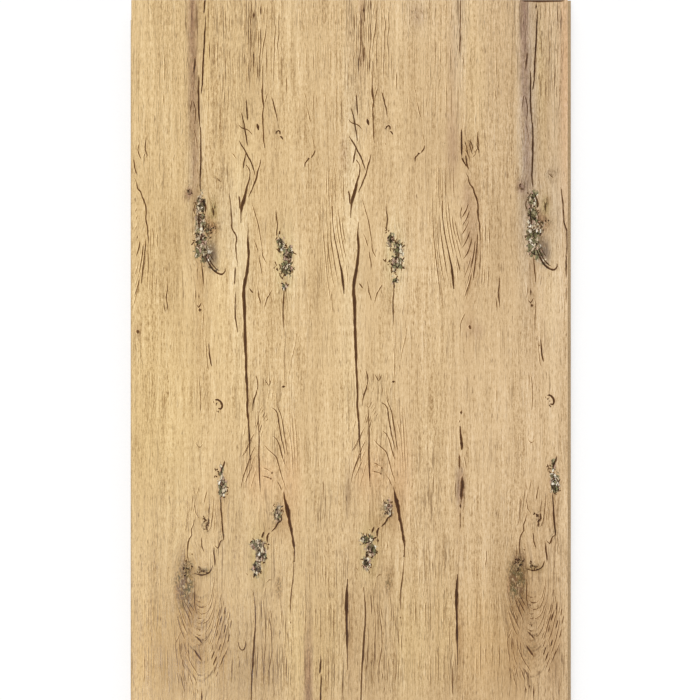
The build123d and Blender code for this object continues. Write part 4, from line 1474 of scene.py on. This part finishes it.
# %% Dark lines, their pale flanks, and pores
FLANK_STRAW, LINE_BROWN, PORE_BROWN = shade(240, 210, 164), shade(130, 96, 58), shade(120, 86, 52)
crowding = add_sum(tree, crowd, [add_fibres(tree, along_grain, 6.0, 90.0, 1.0, 1.0)])
crowded = add_range(tree, crowding, -0.1, 0.3, 0.2, 1.0)
straight_lines = add_fibres(tree, along_grain, 0.55, 24.0, 3.0, 1.0)
bowed_lines = add_fibres(tree, along_arch, 1.1, 16.0, 2.0, 1.15)
line_noise = add_node(tree, "Mix", {0: arched, 2: straight_lines, 3: bowed_lines}).outputs[0]
line_noise = add_math(tree, "MULTIPLY_ADD", crowd, 0.05, line_noise)
lines = add_range(tree, line_noise, 0.06, 0.14, 0.0, 0.75)
lines = add_math(tree, "MULTIPLY", lines, crowded)
flanks = add_range(tree, line_noise, -0.05, 0.03, 0.0, 0.38)
flanks = add_math(tree, "MULTIPLY", flanks, crowded)
pore_noise = add_fibres(tree, along_grain, 0.42, 6.0, 1.0, 1.0)
pore_noise = add_math(tree, "MULTIPLY_ADD", crowd, 0.03, pore_noise)
pores = add_range(tree, pore_noise, 0.14, 0.21, 0.0, 0.6)
printed = add_mix(tree, flanks, printed, FLANK_STRAW)
printed = add_mix(tree, lines, printed, LINE_BROWN)
printed = add_mix(tree, pores, printed, PORE_BROWN)
print("with its lines the decor has", len(tree.nodes), "nodes")

# %% [markdown]
# The stains painted on the net multiply the print. A noise breaks them up, because some
# fibres soak up more than others. The whole print also runs from a little yellower at its
# left side to a little greyer at its right.

# %% Stains
LEFT_TINT, RIGHT_TINT = (1.01, 1.0, 0.9, 1), (0.96, 0.95, 0.98, 1)
patchy = add_sum(tree, 0.95, [add_fibres(tree, along_grain, 0.9, 9.0, 3.0, 1.6)])
patchy = add_range(tree, patchy, 0.5, 1.0, 0.6, 1.0)
stained = add_mix(tree, 1.0, printed, add_painted(tree, "tint", "Color"), "MULTIPLY")
printed = add_mix(tree, patchy, printed, stained)
to_the_right = add_range(tree, xyz["X"], -FACE_WIDTH / 2, FACE_WIDTH / 2)
side_tint = add_mix(tree, to_the_right, LEFT_TINT, RIGHT_TINT)
printed = add_mix(tree, 1.0, printed, side_tint, "MULTIPLY")
print("with its stains the decor has", len(tree.nodes), "nodes")

# %% [markdown]
# The knots' filling looks like dry moss: small flakes from olive to nearly white, with dark
# gaps between them. The flakes are the cells of a Voronoi pattern, in a place that a noise
# has bent, so that their sides aren't straight.

# %% The filling of the knots
RAGS_PER_M = 0.7 / MM
LEAVES_PER_M = 0.9 / MM
LEAF_BEND = 0.9 * MM
LEAF_SQUASH = (1, 0.6, 0)


def add_bend(tree, place, scale, detail, reach):
    """A place, pushed about by a noise."""
    push = add_node(tree, "TexNoise", {"Vector": place, "Scale": scale, "Detail": detail})
    inputs = {0: push.outputs["Color"], 1: (reach,) * 3, 2: place}
    return add_node(tree, "VectorMath", inputs, operation="MULTIPLY_ADD").outputs[0]


ragged = add_node(tree, "TexNoise", {
    "Vector": place, "Scale": RAGS_PER_M, "Detail": 3.0, "Roughness": 0.6,
}).outputs[0]
crumbly = add_math(tree, "MULTIPLY_ADD", add_painted(tree, "filling"), 0.6, ragged)
filled = add_range(tree, crumbly, 0.72, 0.84)
bent_place = add_bend(tree, place, LEAVES_PER_M, 2.0, LEAF_BEND)
leaf_place = add_node(
    tree, "VectorMath", {0: bent_place, 1: LEAF_SQUASH}, operation="MULTIPLY"
).outputs[0]
leaf_inputs = {"Vector": leaf_place, "Scale": LEAVES_PER_M}
leaves = add_node(tree, "TexVoronoi", leaf_inputs, voronoi_dimensions="2D")
leaf_edges = add_node(
    tree, "TexVoronoi", leaf_inputs, voronoi_dimensions="2D", feature="DISTANCE_TO_EDGE"
)
leaf_number = add_node(tree, "SeparateXYZ", {0: leaves.outputs["Color"]}).outputs["X"]
moss = add_ramp(tree, leaf_number, [
    (0.0, shade(98, 78, 52)), (0.2, shade(114, 113, 74)), (0.38, shade(150, 143, 106)),
    (0.56, shade(190, 154, 134)), (0.72, shade(212, 192, 160)), (0.88, shade(226, 212, 180)),
    (1.0, shade(250, 242, 224)),
])
between_leaves = add_range(tree, leaf_edges.outputs["Distance"], 0.03, 0.16, 0.95, 0.0)
moss = add_mix(tree, between_leaves, moss, shade(80, 62, 40))
crumpled = add_sum(tree, 1.04, [add_fibres(tree, bent_place, 0.4, 0.5, 3.0, 1.8)])
moss = add_mix(tree, 1.0, moss, crumpled, "MULTIPLY")
printed = add_mix(tree, filled, printed, moss)
print("with its filling the decor has", len(tree.nodes), "nodes")

# %% [markdown]
# Round the knots torn fibres stand up. Some catch dirt and some catch the light. Both are
# noises in a strongly bent place, so they curl like fur.

# %% Dirt and shine in the torn fibres
CURLS_PER_M = 0.5 / MM
CURL_BEND = 2.2 * MM
SHINE_STRAW = shade(216, 190, 148)
fuzz_amount = add_painted(tree, "fuzz")
furry_place = add_bend(tree, place, CURLS_PER_M, 1.0, CURL_BEND)
dirt_noise = add_fibres(tree, furry_place, 0.7, 1.8, 3.0, 1.0)
dirt_noise = add_math(tree, "MULTIPLY_ADD", fuzz_amount, 0.1, dirt_noise)
dirt = add_range(tree, dirt_noise, 0.04, 0.15, 0.0, 0.8)
dirt_tone = add_sum(tree, 0.5, [add_fibres(tree, place, 4.0, 5.0, 2.0, 1.6)])
dirt_colour = add_ramp(tree, dirt_tone, [
    (0.25, shade(94, 82, 44)), (0.5, shade(102, 78, 42)), (0.75, shade(122, 88, 58)),
])
printed = add_mix(tree, add_math(tree, "MULTIPLY", dirt, fuzz_amount), printed, dirt_colour)
shine_noise = add_fibres(tree, furry_place, 0.6, 2.2, 2.0, -1.0)
shine = add_range(tree, shine_noise, 0.06, 0.16, 0.0, 0.5)
printed = add_mix(tree, add_math(tree, "MULTIPLY", shine, fuzz_amount), printed, SHINE_STRAW)
print("with its dirt the decor has", len(tree.nodes), "nodes")

# %% [markdown]
# Last comes the depth: the deeper a point lies below the face, the darker the print is. A split's
# left wall faces right, and the finish paints light onto it: a painted highlight as a pale lip
# near its top, and less darkening, so that it stays lighter than the other wall. The sheet's
# eased rim and its sides lie deep too, so the net's rim numbers keep them out of this, and they
# get a cut edge's brown instead.

# %% Darkness in the splits, and a painted highlight on their left walls
DARKEST_DEPTH = 0.13 * MM
PAINTED_HIGHLIGHT_GAIN = (1.22, 1.25, 1.28, 1)
at_rim = add_painted(tree, "rim")
off_rim = add_math(tree, "SUBTRACT", 1.0, at_rim, clamp=True)
depth = add_math(tree, "DIVIDE", add_math(tree, "SUBTRACT", FACE_TOP, xyz["Z"]), DARKEST_DEPTH)
depth = add_math(tree, "MULTIPLY", depth, off_rim, clamp=True)
facing = add_node(tree, "NewGeometry").outputs["True Normal"]
facing_right = add_node(tree, "SeparateXYZ", {0: facing}).outputs["X"]
# Painted highlight: walls whose normal points right are picked out here, by their facing and not by the
# lamps
painted_lit_wall = add_range(tree, facing_right, 0.01, 0.04)
# the painted highlight's pale lip near the top of a right-facing wall
painted_highlight_lip = add_range(tree, depth, 0.28, 0.4, 1.0, 0.0)
painted_highlight_lip = add_math(tree, "MULTIPLY", painted_highlight_lip, painted_lit_wall)
printed = add_mix(tree, painted_highlight_lip, printed, add_mix(tree, 1.0, printed, PAINTED_HIGHLIGHT_GAIN, "MULTIPLY"))
# on right-facing walls the darkening is cut back, which paints light onto them; elsewhere it is the
# split's printed brown
depth_less_painted_light = add_math(tree, "MULTIPLY_ADD", painted_lit_wall, -0.28, depth)
darkening = add_ramp(tree, depth_less_painted_light, [
    (0.0, (1, 1, 1, 1)), (0.05, shade(228, 217, 203)), (0.14, shade(168, 146, 116)),
    (0.3, shade(124, 99, 74)), (1.0, shade(84, 63, 50)),
])
printed = add_mix(tree, 1.0, printed, darkening, "MULTIPLY")
rim_share = add_math(tree, "MULTIPLY", at_rim, 0.6)
printed = add_mix(tree, rim_share, printed, shade(150, 124, 98))
print("with its depth the decor has", len(tree.nodes), "nodes")

# %% [markdown]
# The overlay is satin, duller down in the splits, and the fibres stand in it as a fine
# relief. One helper feeds a finish's Principled shader and puts the finish on its piece. It
# serves the core and the backing too.

# %% The overlay's surface
def dress(piece, finish, feeds, specular, relief, bump_strength, bump_height):
    """Feeds the finish's shader with sockets and a bump, and puts the finish on the piece."""
    tree = finish.node_tree
    shader = tree.nodes["Principled BSDF"]
    for name, socket in feeds.items():
        tree.links.new(socket, shader.inputs[name])
    shader.inputs["Specular IOR Level"].default_value = specular
    inputs = {"Strength": bump_strength, "Distance": bump_height, "Height": relief}
    bump = add_node(tree, "Bump", inputs).outputs[0]
    tree.links.new(bump, shader.inputs["Normal"])
    piece.data.materials.clear()
    piece.data.materials.append(finish)
    print(finish.name, "has", len(tree.nodes), "nodes")


dull = add_math(tree, "MULTIPLY_ADD", depth, 0.35, 0.46)
dull = add_math(tree, "ADD", dull, threads)
relief = add_math(tree, "MULTIPLY_ADD", pores, -0.8, add_math(tree, "ADD", threads, hairs))
dress(sheet, decor, {"Base Color": printed, "Roughness": dull}, 0.2, relief, 0.35, 0.03 * MM)

# %% [markdown]
# ## Core and backing
#
# The core is high density fibreboard: fine fibres matted flat, brown all through, a little
# darker and harder at its two skins, and smooth where the mill cut the joint. The backing is
# plain kraft paper soaked in resin. Both are thin bands on the plank's edge, but they fill
# the view from below and at the ends.

# %% The fibreboard
SKIN_START, SKIN_END = 2.2 * MM, 3.75 * MM
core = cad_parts["hdf_core"]
CORE_LOW, CORE_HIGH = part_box("hdf_core")
fibreboard, tree = new_finish("fibreboard")
place = add_node(tree, "TexCoord").outputs["Object"]
xyz = add_node(tree, "SeparateXYZ", {0: place}).outputs
mat = add_fibres(tree, place, 0.35, 1.1, 3.0, 0.8)
quarter_turn = {"Vector": place, "Rotation": (0, 0, math.radians(90))}
cross = add_node(tree, "Mapping", quarter_turn).outputs[0]
crossing = add_fibres(tree, cross, 0.3, 1.0, 3.0, 0.7)
cloud = add_fibres(tree, place, 9.0, 14.0, 2.0, 0.3)
core_middle = (CORE_LOW[2] + CORE_HIGH[2]) / 2
from_middle = add_math(tree, "ABSOLUTE", add_math(tree, "SUBTRACT", xyz["Z"], core_middle))
skin = add_range(tree, from_middle, SKIN_START, SKIN_END, 0.0, 0.16)
tone = add_sum(tree, add_math(tree, "SUBTRACT", 0.5, skin), [mat, crossing, cloud])
board_colour = add_ramp(tree, tone, [
    (0.1, shade(140, 112, 80)), (0.45, shade(180, 152, 114)), (0.6, shade(192, 164, 126)),
    (0.95, shade(214, 188, 150)),
])
dull = add_math(tree, "ADD", 0.72, mat)
dress(core, fibreboard, {"Base Color": board_colour, "Roughness": dull}, 0.25, mat, 0.3, 0.05 * MM)

# %% The backing paper
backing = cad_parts["backing_layer"]
paper, tree = new_finish("backing_paper")
place = add_node(tree, "TexCoord").outputs["Object"]
cloud = add_fibres(tree, place, 16.0, 30.0, 3.0, 0.5)
felt = add_fibres(tree, place, 0.5, 0.9, 3.0, 0.5)
paper_colour = add_ramp(tree, add_sum(tree, 0.5, [cloud, felt]), [
    (0.15, shade(168, 150, 124)), (0.5, shade(190, 174, 149)), (0.85, shade(206, 192, 168)),
])
dull = add_math(tree, "ADD", 0.6, felt)
dress(backing, paper, {"Base Color": paper_colour, "Roughness": dull}, 0.3, felt, 0.2, 0.03 * MM)
